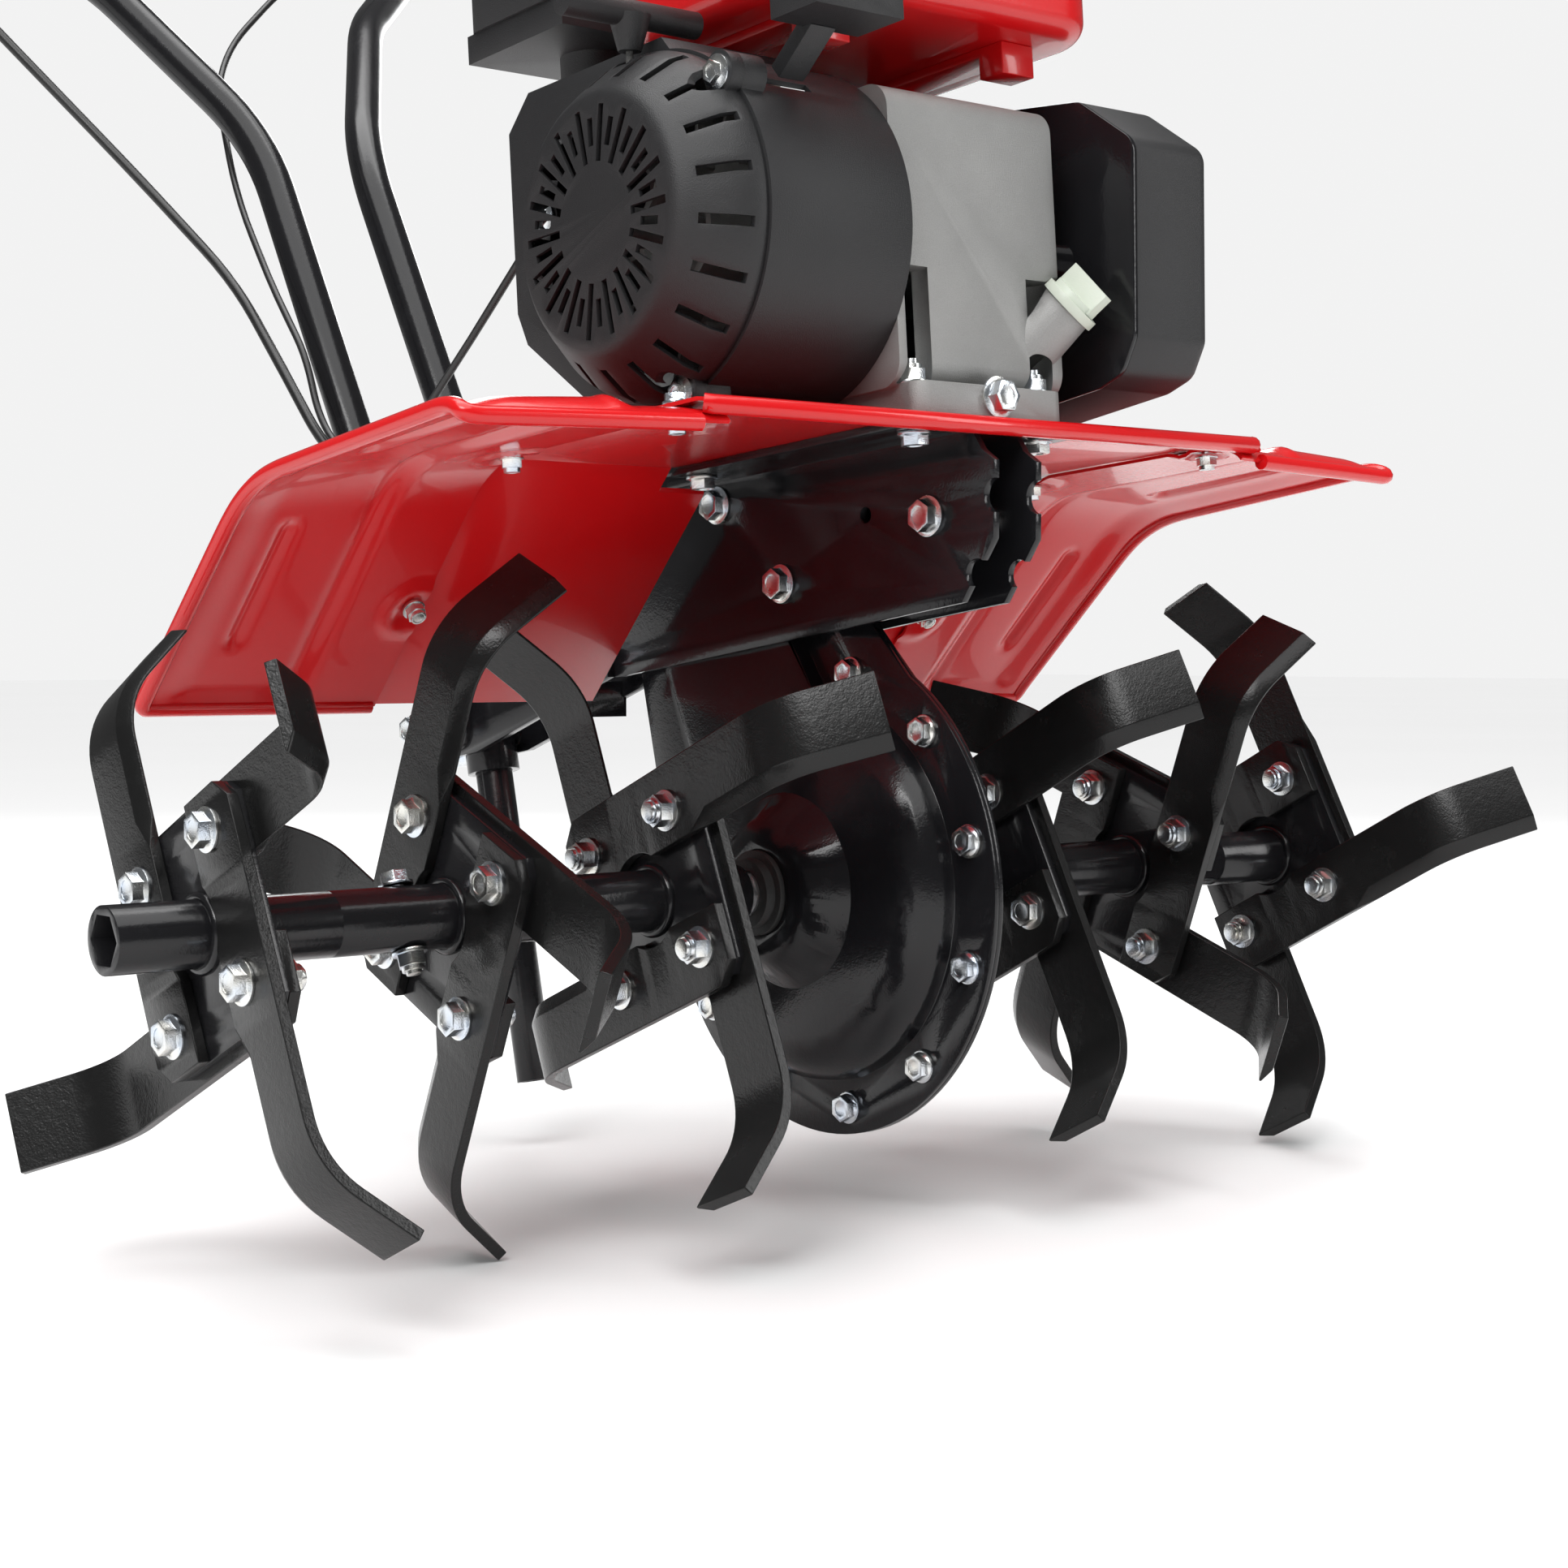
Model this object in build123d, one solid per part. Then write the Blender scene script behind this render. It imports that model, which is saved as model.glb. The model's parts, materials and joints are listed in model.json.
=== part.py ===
from build123d import *
import math
import os

# Front-tine petrol tiller.  Millimetres.  X is across the machine (the tine
# shaft lies along it), -Y is the front, +Y is the handlebar end, +Z is up.
# Everything is designed about the tine axis at y = 0, z = 0.  At the end the
# whole machine is moved so that the origin is on the ground, at the middle of
# its footprint.

# ---------------------------------------------------------------- tine shaft
HEX_FLATS = 23.0                # drive hexagon, across flats
HEX_PLAY = 0.1                  # gap on each flat of the drive hexagon
TUBE_RADIUS = 16.4              # hub tube
TUBE_END = 436.25               # outer end of the hub tubes
TUBE_JOINT = 320.0              # where the outer hub meets the inner hub
TUBE_INNER_END = 66.0           # inner end of the inner hub tube
CROSS_BOLT_X = 277.0            # bolt through the plug-in outer hub
INNER_BOLT_X = 88.0             # bolt through the inner hub and the shaft
HUB_BOLT_RADIUS = 4.0

# ----------------------------------------------------------- plates and tines
PLATE_X = [-383.9, -248.3, -119.65, 119.65, 248.3, 383.9]
PLATE_TURN = [-19.6, 21.9, -22.4, -17.5, 25.4, -17.2]   # degrees, +Z towards +Y
PLATE_THICK = 5.0
BOLT_SQUARE = 75.0              # side of the square of four tine bolts
PLATE_MARGIN = 19.0             # plate edge past the bolt square
TINE_THICK = 6.0
TINE_WIDTH = 41.6
TINE_OFFSET = 3.2               # outward shift of the tine on its bolt line
TINE_STRAIGHT = 72.0            # flat length past the last bolt
TINE_BEND_RADIUS = 50.0
TINE_BEND_ANGLE = 48.0
TINE_TIP = 34.0
TINE_TAIL = 19.0                # length behind the first bolt
TINE_BOLT_RADIUS = 5.0
HOLE_PLAY = 0.5                 # radial gap round a bolt shank

# ------------------------------------------------------------------ gear case
CASE_SHEET = 3.0
CASE_RIM_RADIUS = 137.8
CASE_PAN_RADIUS = 108.0
CASE_PAN_HALF = 27.0            # half thickness of the round pan
CASE_NECK_HALF = 13.0           # half thickness of the neck
CASE_HUB_RADIUS = 46.0
CASE_HUB_X = 50.0
CASE_BOLT_CIRCLE = 123.0
INPUT_Y = 150.0                 # input shaft, at the top of the neck
INPUT_Z = 262.0
NECK_TOP_RADIUS = 40.0
NECK_FOOT_RADIUS = 66.0
NECK_RIM = 12.0                 # joint flange round the neck
CHAIN_X = 5.0                   # mid planes of the two chains
CHAIN_WIDTH = 5.0
CHAIN_THICK = 5.0
CHAIN_GAP = 0.6
SMALL_SPROCKET = 14.0
MIDDLE_SPROCKET = 32.0
ROTOR_SPROCKET = 58.0
COUNTER_SHARE = 0.62            # place of the countershaft along the neck
SHAFT_PLAY = 0.05               # radial running clearance

# ---------------------------------------------------------------------- frame
DECK_LEVEL = 235.2              # underside of the deck flange at y = 0
DECK_SLOPE = 4.5                # degrees, the front is higher
DECK_THICK = 4.0
FRAME_SHEET = 4.0
FRAME_INNER = 13.3              # inside face of the side plates
DECK_FRONT = -134.0
DECK_REAR = 112.0
DECK_EDGE = 62.0                # outer edge of the deck flange
DECK_WIDE_TO = 66.0             # behind this the flange is narrower
DECK_REAR_EDGE = 26.0
FRAME_BOLTS = [(75.0, 216.0), (-102.0, 203.0), (18.0, 170.0), (190.0, 127.0)]
CHEEK_THICK = 5.0               # hitch cheeks outside the side plates

# -------------------------------------------------------------------- fenders
FENDER_SHEET = 2.0
PANEL_HALF = 198.0
WING_INNER = 184.0
WING_EDGE = 327.0
BEAD_RADIUS = 4.5
FENDER_FRONT = -140.0
FENDER_BEND = 60.0
FENDER_REAR = 181.0
FENDER_REAR_Z = 102.0
WING_FRONT_Z = 243.0
WING_BEND_Z = 217.2

# --------------------------------------------------------------------- engine
ENGINE_Y = -31.0                # middle of the four base bolts
BASE_BOLT_X = 44.0
BASE_BOLT_Y = 88.0
BASE_THICK = 18.0
CRANK_Y = -20.0                 # crankshaft, from the middle of the base
CRANK_Z = 100.0
CASE_LEFT = -58.0
CASE_RIGHT = 60.0
SHROUD_BACK = -58.1
SHROUD_FACE = -150.0
RECOIL_FACE = -190.0
SHROUD_RADIUS = 90.0
GRILLE_RADIUS = 66.0
SHROUD_BOLT_CIRCLE = 90.0
SHROUD_BOLT_TURNS = (195.0, 75.0, 315.0)
SHELL_WALL = 2.5
CYLINDER_TILT = 25.0            # degrees above level, towards the rear

# ----------------------------------------------------------------- belt drive
PULLEY_X = 112.0
BELT_WIDTH = 13.0
BELT_DEPTH = 8.0
DRIVE_PULLEY_RADIUS = 38.0
DRIVEN_PULLEY_RADIUS = 50.0
COVER_INNER = 88.0
COVER_OUTER = 148.0

# ----------------------------------------------------------- rear and handles
HITCH_Y = 339.0
HITCH_Z = 82.0
BAR_RADIUS = 12.0
BAR_LEAN = 13.2                 # degrees, the foot is further forward
BAR_BELOW = 232.0               # bar below its socket's middle
BAR_ABOVE = 90.0
HANDLE_RADIUS = 13.0
HANDLE_WALL = 2.0
HANDLE_X = 41.0
HANDLE_SPREAD = 235.0
GRIP_RADIUS = 16.5
GRIP_LENGTH = 125.0
LEVER_REST = 21.0               # clutch lever below its grip, degrees

# ------------------------------------------------------------ small hardware
M10_FLATS = 15.0
M10_FLANGE = 10.9
M8_FLATS = 13.0
M8_FLANGE = 8.9
M6_FLATS = 10.0
M6_FLANGE = 6.5

parts = {}


def rod_x(radius, x_start, x_end, y=0.0, z=0.0):
    middle = (x_start + x_end) / 2
    return Pos(middle, y, z) * Rot(0, 90, 0) * Cylinder(radius, abs(x_end - x_start))


def block(x_start, x_end, y_start, y_end, z_start, z_end):
    size = Box(x_end - x_start, y_end - y_start, z_end - z_start)
    return Pos((x_start + x_end) / 2, (y_start + y_end) / 2, (z_start + z_end) / 2) * size


def side_shape(points, x_start, x_end):
    outline = make_face(Plane.YZ * Polyline(*points, close=True))
    return Pos(x_start, 0, 0) * extrude(outline, amount=x_end - x_start, dir=(1, 0, 0))


def hexagon_x(flats, x_start, x_end):
    profile = Plane.YZ * RegularPolygon(flats / 2, 6, major_radius=False)
    return Pos(x_start, 0, 0) * extrude(profile, amount=x_end - x_start, dir=(1, 0, 0))


def round_body(profile):
    """Turn an outline given as (x, radius) points about the X axis."""
    return revolve(make_face(Polyline(*profile, close=True)), Axis.X, 360)


def strip(points, thickness):
    """Closed outline of a sheet that follows points on its top side."""
    under = []
    for index, (y, z) in enumerate(points):
        before = points[max(index - 1, 0)]
        after = points[min(index + 1, len(points) - 1)]
        run = (after[0] - before[0], after[1] - before[1])
        length = math.hypot(*run)
        under.append((y + run[1] / length * thickness, z - run[0] / length * thickness))
    return list(points) + under[::-1]


def hull_outline(circles):
    """Outline of a belt drawn tight round two circles, each (y, z, radius)."""
    (y_a, z_a, r_a), (y_b, z_b, r_b) = circles
    span = math.hypot(y_b - y_a, z_b - z_a)
    heading = math.atan2(z_b - z_a, y_b - y_a)
    lift = math.acos((r_a - r_b) / span)
    ends = []
    for turn in (heading + lift, heading - lift):
        for y, z, radius in circles:
            ends.append((y + radius * math.cos(turn), z + radius * math.sin(turn)))
    upper_a, upper_b, lower_a, lower_b = ends
    far_b = (y_b + r_b * math.cos(heading), z_b + r_b * math.sin(heading))
    far_a = (y_a - r_a * math.cos(heading), z_a - r_a * math.sin(heading))
    return make_face([
        Line(upper_a, upper_b),
        ThreePointArc(upper_b, far_b, lower_b),
        Line(lower_b, lower_a),
        ThreePointArc(lower_a, far_a, upper_a),
    ])


def belt_shape(circles, x_start, x_end):
    outline = Plane.YZ * hull_outline(circles)
    return Pos(x_start, 0, 0) * extrude(outline, amount=x_end - x_start, dir=(1, 0, 0))


def flange_bolt(shank_radius, length, flats, flange_radius):
    """Head stands on z = 0, the shank points down."""
    flange = Pos(0, 0, 0.8) * Cylinder(flange_radius, 1.6)
    crown = Pos(0, 0, 2.1) * Cone(flange_radius - 0.8, flats / 2, 1.2)
    head = extrude(RegularPolygon(flats / 2, 6, major_radius=False), amount=flats * 0.55)
    dish = Pos(0, 0, flats * 0.55) * Cylinder(flats * 0.32, 1.0)
    shank = Pos(0, 0, -length / 2) * Cylinder(shank_radius, length)
    return flange + crown + head - dish + shank


def lock_nut(shank_radius, flats, flange_radius):
    """Flange nut with a nylon collar, standing on z = 0."""
    flange = Pos(0, 0, 0.8) * Cylinder(flange_radius, 1.6)
    body = extrude(RegularPolygon(flats / 2, 6, major_radius=False), amount=flats * 0.6)
    collar = Pos(0, 0, flats * 0.6 + 1.2) * Cylinder(flats * 0.44, 2.4)
    bore = Cylinder(shank_radius + 0.05, flats * 3)
    return flange + body + collar - bore


def toward(direction):
    """Location that turns local +Z to the given direction."""
    return Plane(origin=(0, 0, 0), z_dir=direction).location


def circle_point(turn, radius):
    """Point in (y, z), turned from +Z towards +Y."""
    angle = math.radians(turn)
    return radius * math.sin(angle), radius * math.cos(angle)


def deck_top(y):
    return DECK_LEVEL + DECK_THICK - y * math.tan(math.radians(DECK_SLOPE))


ENGINE = (Pos(0, ENGINE_Y, deck_top(ENGINE_Y) + FENDER_SHEET + 0.05)
          * Rot(-DECK_SLOPE, 0, 0))


# ------------------------------------------------------- hubs: tubes and plates
def hub(tube_from, tube_to, plate_numbers):
    tube = rod_x(TUBE_RADIUS, tube_from, tube_to)
    for number in plate_numbers:
        x = PLATE_X[number]
        side = BOLT_SQUARE + 2 * PLATE_MARGIN
        plate = extrude(
            Plane.YZ * chamfer(Rectangle(side, side).vertices(), 7.0),
            amount=PLATE_THICK, dir=(1, 0, 0))
        tube += Pos(x - PLATE_THICK / 2, 0, 0) * Rot(45 - PLATE_TURN[number], 0, 0) * plate
        for face in (-1, 1):
            bead_x = x + face * (PLATE_THICK / 2 + 1.2)
            tube += Pos(bead_x, 0, 0) * Rot(0, 90, 0) * Torus(TUBE_RADIUS + 1.0, 2.6)
        for k in range(4):
            y, z = circle_point(PLATE_TURN[number] + 90 * k, BOLT_SQUARE / math.sqrt(2))
            tube -= rod_x(TINE_BOLT_RADIUS + HOLE_PLAY, x - 9, x + 9, y, z)
    low = min(tube_from, tube_to)
    high = max(tube_from, tube_to)
    tube -= hexagon_x(HEX_FLATS + 2 * HEX_PLAY, low - 1, high + 1)
    return tube


def cross_hole(x, turn):
    return Pos(x, 0, 0) * Rot(-turn, 0, 0) * Cylinder(HUB_BOLT_RADIUS + HOLE_PLAY, 60)


extension_shafts = []
for side, name in ((-1, "right"), (1, "left")):
    numbers = [1, 2] if side < 0 else [3, 4]
    end_number = 0 if side < 0 else 5
    turn = PLATE_TURN[1 if side < 0 else 4]
    bolt_hole = cross_hole(side * CROSS_BOLT_X, turn)
    inner_hole = cross_hole(side * INNER_BOLT_X, turn)
    parts["hub_inner_" + name] = (
        hub(side * TUBE_INNER_END, side * TUBE_JOINT, numbers) - bolt_hole - inner_hole)
    drain = Pos(side * 330, 0, -TUBE_RADIUS) * Cylinder(3.0, 12)
    parts["hub_outer_" + name] = hub(side * TUBE_JOINT, side * TUBE_END, [end_number]) - drain
    plug = hexagon_x(HEX_FLATS, min(side * 236, side * 372), max(side * 236, side * 372))
    extension_shafts.append(plug - bolt_hole)
parts["extension_shafts"] = extension_shafts

half_shaft = hexagon_x(HEX_FLATS, 60, 228)
rotor_shaft = rod_x(12.5, -60.5, 60.5) + half_shaft + mirror(half_shaft, Plane.YZ)
for side in (-1, 1):
    rotor_shaft -= cross_hole(side * INNER_BOLT_X, PLATE_TURN[1 if side < 0 else 4])

hub_bolts = []
for side in (-1, 1):
    turn = PLATE_TURN[1 if side < 0 else 4]
    for x in (CROSS_BOLT_X, INNER_BOLT_X):
        at_bolt = Pos(side * x, 0, 0) * Rot(-turn, 0, 0)
        seat = TUBE_RADIUS + 0.2
        hub_bolts.append(at_bolt * Pos(0, 0, seat) * flange_bolt(
            HUB_BOLT_RADIUS, 2 * seat + 12, M8_FLATS, M8_FLANGE))
        hub_bolts.append(at_bolt * Pos(0, 0, -seat) * Rot(180, 0, 0) * lock_nut(
            HUB_BOLT_RADIUS, M8_FLATS, M8_FLANGE))
parts["hub_cross_bolts"] = hub_bolts


# -------------------------------------------------------------------- tines
def tine():
    """Flat along +X, its inner face on y = 0, bent back towards -Y."""
    bend_at = BOLT_SQUARE + TINE_STRAIGHT
    centre = (bend_at, TINE_THICK / 2 - TINE_BEND_RADIUS)
    outer = TINE_BEND_RADIUS + TINE_THICK / 2
    inner = TINE_BEND_RADIUS - TINE_THICK / 2
    angle = math.radians(TINE_BEND_ANGLE)
    ahead = (math.cos(angle) * TINE_TIP, -math.sin(angle) * TINE_TIP)
    outer_end = (centre[0] + outer * math.sin(angle), centre[1] + outer * math.cos(angle))
    inner_end = (centre[0] + inner * math.sin(angle), centre[1] + inner * math.cos(angle))
    outer_tip = (outer_end[0] + ahead[0], outer_end[1] + ahead[1])
    inner_tip = (inner_end[0] + ahead[0], inner_end[1] + ahead[1])
    profile = make_face([
        Line((-TINE_TAIL, TINE_THICK), (bend_at, TINE_THICK)),
        CenterArc(centre, outer, 90, -TINE_BEND_ANGLE),
        Line(outer_end, outer_tip),
        Line(outer_tip, inner_tip),
        Line(inner_tip, inner_end),
        CenterArc(centre, inner, 90, -TINE_BEND_ANGLE),
        Line((bend_at, 0), (-TINE_TAIL, 0)),
        Line((-TINE_TAIL, 0), (-TINE_TAIL, TINE_THICK)),
    ])
    low = TINE_OFFSET - TINE_WIDTH / 2
    blade = Pos(0, 0, low) * extrude(profile, amount=TINE_WIDTH, dir=(0, 0, 1))
    for x in (0, BOLT_SQUARE):
        blade -= Pos(x, 0, 0) * Rot(90, 0, 0) * Cylinder(TINE_BOLT_RADIUS + HOLE_PLAY, 40)
    round_tube = Pos(BOLT_SQUARE / 2, 0, -BOLT_SQUARE / 2) * Rot(90, 0, 0)
    blade -= round_tube * Cylinder(TUBE_RADIUS + 9.0, 40)
    corner = Pos(-TINE_TAIL, 0, low + TINE_WIDTH) * Rot(0, 45, 0) * Box(16, 40, 16)
    return blade - corner


left_tine = tine()
right_tine = mirror(left_tine, Plane.XZ)
NEAR_FACE = [[(0, 3), (2, 1)]] + 3 * [[(1, 0), (3, 2)]] + 2 * [[(2, 3), (0, 1)]]
FAR_FACE = [[(1, 0), (3, 2)]] + 3 * [[(0, 3), (2, 1)]] + 2 * [[(3, 0), (1, 2)]]


def set_tine(number, first, last, face):
    corner_radius = BOLT_SQUARE / math.sqrt(2)
    y_a, z_a = circle_point(PLATE_TURN[number] + 90 * first, corner_radius)
    y_b, z_b = circle_point(PLATE_TURN[number] + 90 * last, corner_radius)
    along = Vector(0, y_b - y_a, z_b - z_a).normalized()
    outward = Vector(0, y_a + y_b, z_a + z_b).normalized()
    face_x = PLATE_X[number] + face * PLATE_THICK / 2
    place = Plane(origin=(face_x, y_a, z_a), x_dir=along, z_dir=outward)
    same_side = outward.cross(along).X * face > 0
    return place.location * (left_tine if same_side else right_tine)


tine_fasteners = []
for number in range(6):
    blades = [set_tine(number, a, b, -1) for a, b in NEAR_FACE[number]]
    blades += [set_tine(number, a, b, 1) for a, b in FAR_FACE[number]]
    parts["tines_" + str(number + 1)] = blades
    head_side = -1 if number in (0, 1, 3) else 1
    stack = PLATE_THICK / 2 + TINE_THICK
    for k in range(4):
        y, z = circle_point(PLATE_TURN[number] + 90 * k, BOLT_SQUARE / math.sqrt(2))
        head = Pos(PLATE_X[number] + head_side * stack, y, z) * Rot(0, head_side * 90, 0)
        tail = Pos(PLATE_X[number] - head_side * stack, y, z) * Rot(0, -head_side * 90, 0)
        tine_fasteners.append(head * flange_bolt(
            TINE_BOLT_RADIUS, 2 * stack + 13, M10_FLATS, M10_FLANGE))
        tine_fasteners.append(tail * lock_nut(TINE_BOLT_RADIUS, M10_FLATS, M10_FLANGE))
parts["tine_fasteners"] = tine_fasteners


# ------------------------------------------------------ gear case and its works
COUNTER_Y = INPUT_Y * COUNTER_SHARE
COUNTER_Z = INPUT_Z * COUNTER_SHARE


def case_half(side):
    """One pressed shell, from the joint at x = 0 outwards along +X."""
    neck = [(0, 0, NECK_FOOT_RADIUS), (INPUT_Y, INPUT_Z, NECK_TOP_RADIUS)]
    outer = round_body([
        (0, 0), (0, CASE_PAN_RADIUS), (CASE_PAN_HALF - 14, CASE_PAN_RADIUS - 2),
        (CASE_PAN_HALF - 4, CASE_PAN_RADIUS - 12), (CASE_PAN_HALF, CASE_PAN_RADIUS - 26),
        (CASE_PAN_HALF + 2, CASE_HUB_RADIUS + 8), (CASE_HUB_X - 12, CASE_HUB_RADIUS),
        (CASE_HUB_X - 3, CASE_HUB_RADIUS - 8), (CASE_HUB_X, 30), (CASE_HUB_X, 0)])
    outer += belt_shape(neck, 0, CASE_NECK_HALF)
    outer += rod_x(CASE_RIM_RADIUS, 0, CASE_SHEET)
    wide_neck = [
        (0, 0, CASE_RIM_RADIUS - 4), (INPUT_Y, INPUT_Z, NECK_TOP_RADIUS + NECK_RIM)]
    outer += belt_shape(wide_neck, 0, CASE_SHEET)
    outer -= block(-1, 40, 0, 74, 226, 310)
    sheet = CASE_SHEET
    hollow = round_body([
        (-1, 0), (-1, CASE_PAN_RADIUS - sheet), (CASE_PAN_HALF - 15, CASE_PAN_RADIUS - 5),
        (CASE_PAN_HALF - 7, CASE_PAN_RADIUS - 14), (CASE_PAN_HALF - 3, CASE_PAN_RADIUS - 28),
        (CASE_PAN_HALF - 1, CASE_HUB_RADIUS + 4), (CASE_HUB_X - 16, CASE_HUB_RADIUS - 4),
        (CASE_HUB_X - 14, 0)])
    thin_neck = [(y, z, radius - sheet) for y, z, radius in neck]
    hollow += belt_shape(thin_neck, -1, CASE_NECK_HALF - sheet)
    shell = outer - hollow
    for y, z in ((INPUT_Y, INPUT_Z), (COUNTER_Y, COUNTER_Z)):
        shell += rod_x(14.0, CASE_NECK_HALF - sheet - 1.5, CASE_NECK_HALF, y, z)
    shell -= rod_x(23.5, CASE_HUB_X - 12, CASE_HUB_X + 1)
    shell -= rod_x(16.0, -1, CASE_HUB_X)
    shell -= rod_x(8.0 + SHAFT_PLAY, 0, 40, INPUT_Y, INPUT_Z)
    shell -= rod_x(8.0 + SHAFT_PLAY, 0, CASE_NECK_HALF - 1.5, COUNTER_Y, COUNTER_Z)
    for y, z in case_bolt_places():
        shell -= rod_x(3.0 + HOLE_PLAY, -1, CASE_SHEET + 30, y, z)
    for y, z in FRAME_BOLTS:
        shell += rod_x(9.0, 0, CASE_NECK_HALF, y, z) & outer
        shell -= rod_x(4.0 + HOLE_PLAY, -1, 30, y, z)
    return shell if side > 0 else mirror(shell, Plane.YZ)


def case_bolt_places():
    first = -11.7
    step = 360 / 11.44
    return [circle_point(first - step * count, CASE_BOLT_CIRCLE) for count in range(10)]


parts["gear_case_right"] = case_half(-1)
parts["gear_case_left"] = case_half(1)

case_bolts = []
for y, z in case_bolt_places():
    at_right = Pos(-CASE_SHEET, y, z) * Rot(0, -90, 0)
    at_left = Pos(CASE_SHEET, y, z) * Rot(0, 90, 0)
    case_bolts.append(at_right * flange_bolt(3.0, 2 * CASE_SHEET + 7, M8_FLATS, M8_FLANGE))
    case_bolts.append(at_left * lock_nut(3.0, M6_FLATS, M6_FLANGE))
parts["case_bolts"] = case_bolts

shaft_seals = []
shaft_bearings = []
for side in (-1, 1):
    seal = rod_x(23.4, side * (CASE_HUB_X - 12), side * (CASE_HUB_X + 3))
    seal += rod_x(19.0, side * (CASE_HUB_X + 2), side * (CASE_HUB_X + 9))
    shaft_seals.append(seal - rod_x(12.5 + SHAFT_PLAY, -70, 70))
    bearing = rod_x(15.9, side * 22, side * (CASE_HUB_X - 13)) - rod_x(12.5 + SHAFT_PLAY, -70, 70)
    shaft_bearings.append(bearing)
parts["shaft_seals"] = shaft_seals
parts["shaft_bearings"] = shaft_bearings


def sprocket(x, y, z, radius, teeth):
    wheel = rod_x(radius - 3.0, x - CHAIN_WIDTH / 2, x + CHAIN_WIDTH / 2, y, z)
    pitch = 360 / teeth
    for tooth in range(teeth):
        dy, dz = circle_point(tooth * pitch, radius - 3.5)
        wheel += rod_x(3.0, x - CHAIN_WIDTH / 2, x + CHAIN_WIDTH / 2, y + dy, z + dz)
    return wheel


def chain(x, circles):
    inner = [(y, z, radius + CHAIN_GAP) for y, z, radius in circles]
    outer = [(y, z, radius + CHAIN_GAP + CHAIN_THICK) for y, z, radius in circles]
    loop = belt_shape(outer, x - CHAIN_WIDTH / 2, x + CHAIN_WIDTH / 2)
    return loop - belt_shape(inner, x - CHAIN_WIDTH, x + CHAIN_WIDTH)


parts["rotor_shaft"] = rotor_shaft + sprocket(-CHAIN_X, 0, 0, ROTOR_SPROCKET, 27)
counter = sprocket(-CHAIN_X, COUNTER_Y, COUNTER_Z, SMALL_SPROCKET, 8)
counter += sprocket(CHAIN_X, COUNTER_Y, COUNTER_Z, MIDDLE_SPROCKET, 16)
counter += rod_x(8.0, -CASE_NECK_HALF + 2, CASE_NECK_HALF - 2, COUNTER_Y, COUNTER_Z)
parts["counter_sprockets"] = counter
input_shaft = sprocket(CHAIN_X, INPUT_Y, INPUT_Z, SMALL_SPROCKET, 8)
input_shaft += rod_x(8.0, -CASE_NECK_HALF, PULLEY_X + 14, INPUT_Y, INPUT_Z)
parts["input_shaft"] = input_shaft
parts["drive_chains"] = [
    chain(-CHAIN_X, [(0, 0, ROTOR_SPROCKET), (COUNTER_Y, COUNTER_Z, SMALL_SPROCKET)]),
    chain(CHAIN_X, [(COUNTER_Y, COUNTER_Z, MIDDLE_SPROCKET), (INPUT_Y, INPUT_Z, SMALL_SPROCKET)])]


# -------------------------------------------------------------- frame plates


def frame_plate(side):
    under = deck_top(0) - DECK_THICK
    slope = math.tan(math.radians(DECK_SLOPE))
    outline = [
        (DECK_REAR, under - slope * DECK_REAR), (DECK_FRONT, under - slope * DECK_FRONT),
        (-141.0, 236.0), (-150.0, 230.0), (-150.0, 190.0), (-127.0, 157.5), (172.0, 117.0), (208.0, 117.0),
        (208.0, 128.0), (118.0, 188.0), (114.0, 222.0)]
    plate = side_shape(outline, FRAME_INNER, FRAME_INNER + FRAME_SHEET)
    for y, z, radius in ((-152.0, 212.0, 9.0), (-138.0, 172.0, 8.0)):
        plate -= rod_x(radius, 0, 40, y, z)
    plate -= rod_x(4.5, 0, 40, -52.0, 205.5)
    for y, z in FRAME_BOLTS:
        plate -= rod_x(4.0 + HOLE_PLAY, 0, 40, y, z)
    flange = strip([(DECK_REAR, deck_top(DECK_REAR)), (DECK_FRONT, deck_top(DECK_FRONT))],
                   -DECK_THICK)
    deck = side_shape(flange, FRAME_INNER, DECK_EDGE)
    deck -= block(DECK_REAR_EDGE, 100, DECK_WIDE_TO, 200, 180, 280)
    for bolt_y in (-BASE_BOLT_Y, BASE_BOLT_Y):
        deck -= ENGINE * Pos(BASE_BOLT_X, bolt_y, 0) * Cylinder(4.0 + HOLE_PLAY, 40)
    plate += deck
    return plate if side > 0 else mirror(plate, Plane.YZ)


parts["frame_plate_right"] = frame_plate(-1)
parts["frame_plate_left"] = frame_plate(1)

frame_bolts = []
for y, z in FRAME_BOLTS:
    face = FRAME_INNER + FRAME_SHEET
    if (y, z) == FRAME_BOLTS[3]:
        face += CHEEK_THICK
    frame_bolts.append(Pos(-face, y, z) * Rot(0, -90, 0) * flange_bolt(
        4.0, 2 * face + 11, M10_FLATS, M10_FLANGE))
    frame_bolts.append(Pos(face, y, z) * Rot(0, 90, 0) * lock_nut(4.0, M8_FLATS, M8_FLANGE))
parts["frame_bolts"] = frame_bolts
spacer_y, spacer_z = FRAME_BOLTS[1]
spacer = rod_x(9.0, -FRAME_INNER, FRAME_INNER, spacer_y, spacer_z)
parts["frame_spacer"] = spacer - rod_x(4.0 + HOLE_PLAY, -20, 20, spacer_y, spacer_z)


# ------------------------------------------------------------------- fenders
def panel_top():
    """Centre panel's upper side, as points in (y, z) from front to rear."""
    lift = FENDER_SHEET + 0.03
    return [
        (FENDER_FRONT - 5, deck_top(FENDER_FRONT) + lift - 7),
        (FENDER_FRONT - 1, deck_top(FENDER_FRONT) + lift - 1),
        (FENDER_FRONT + 5, deck_top(FENDER_FRONT + 5) + lift),
        (FENDER_BEND, deck_top(FENDER_BEND) + lift),
        (FENDER_REAR, FENDER_REAR_Z + lift)]


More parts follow.
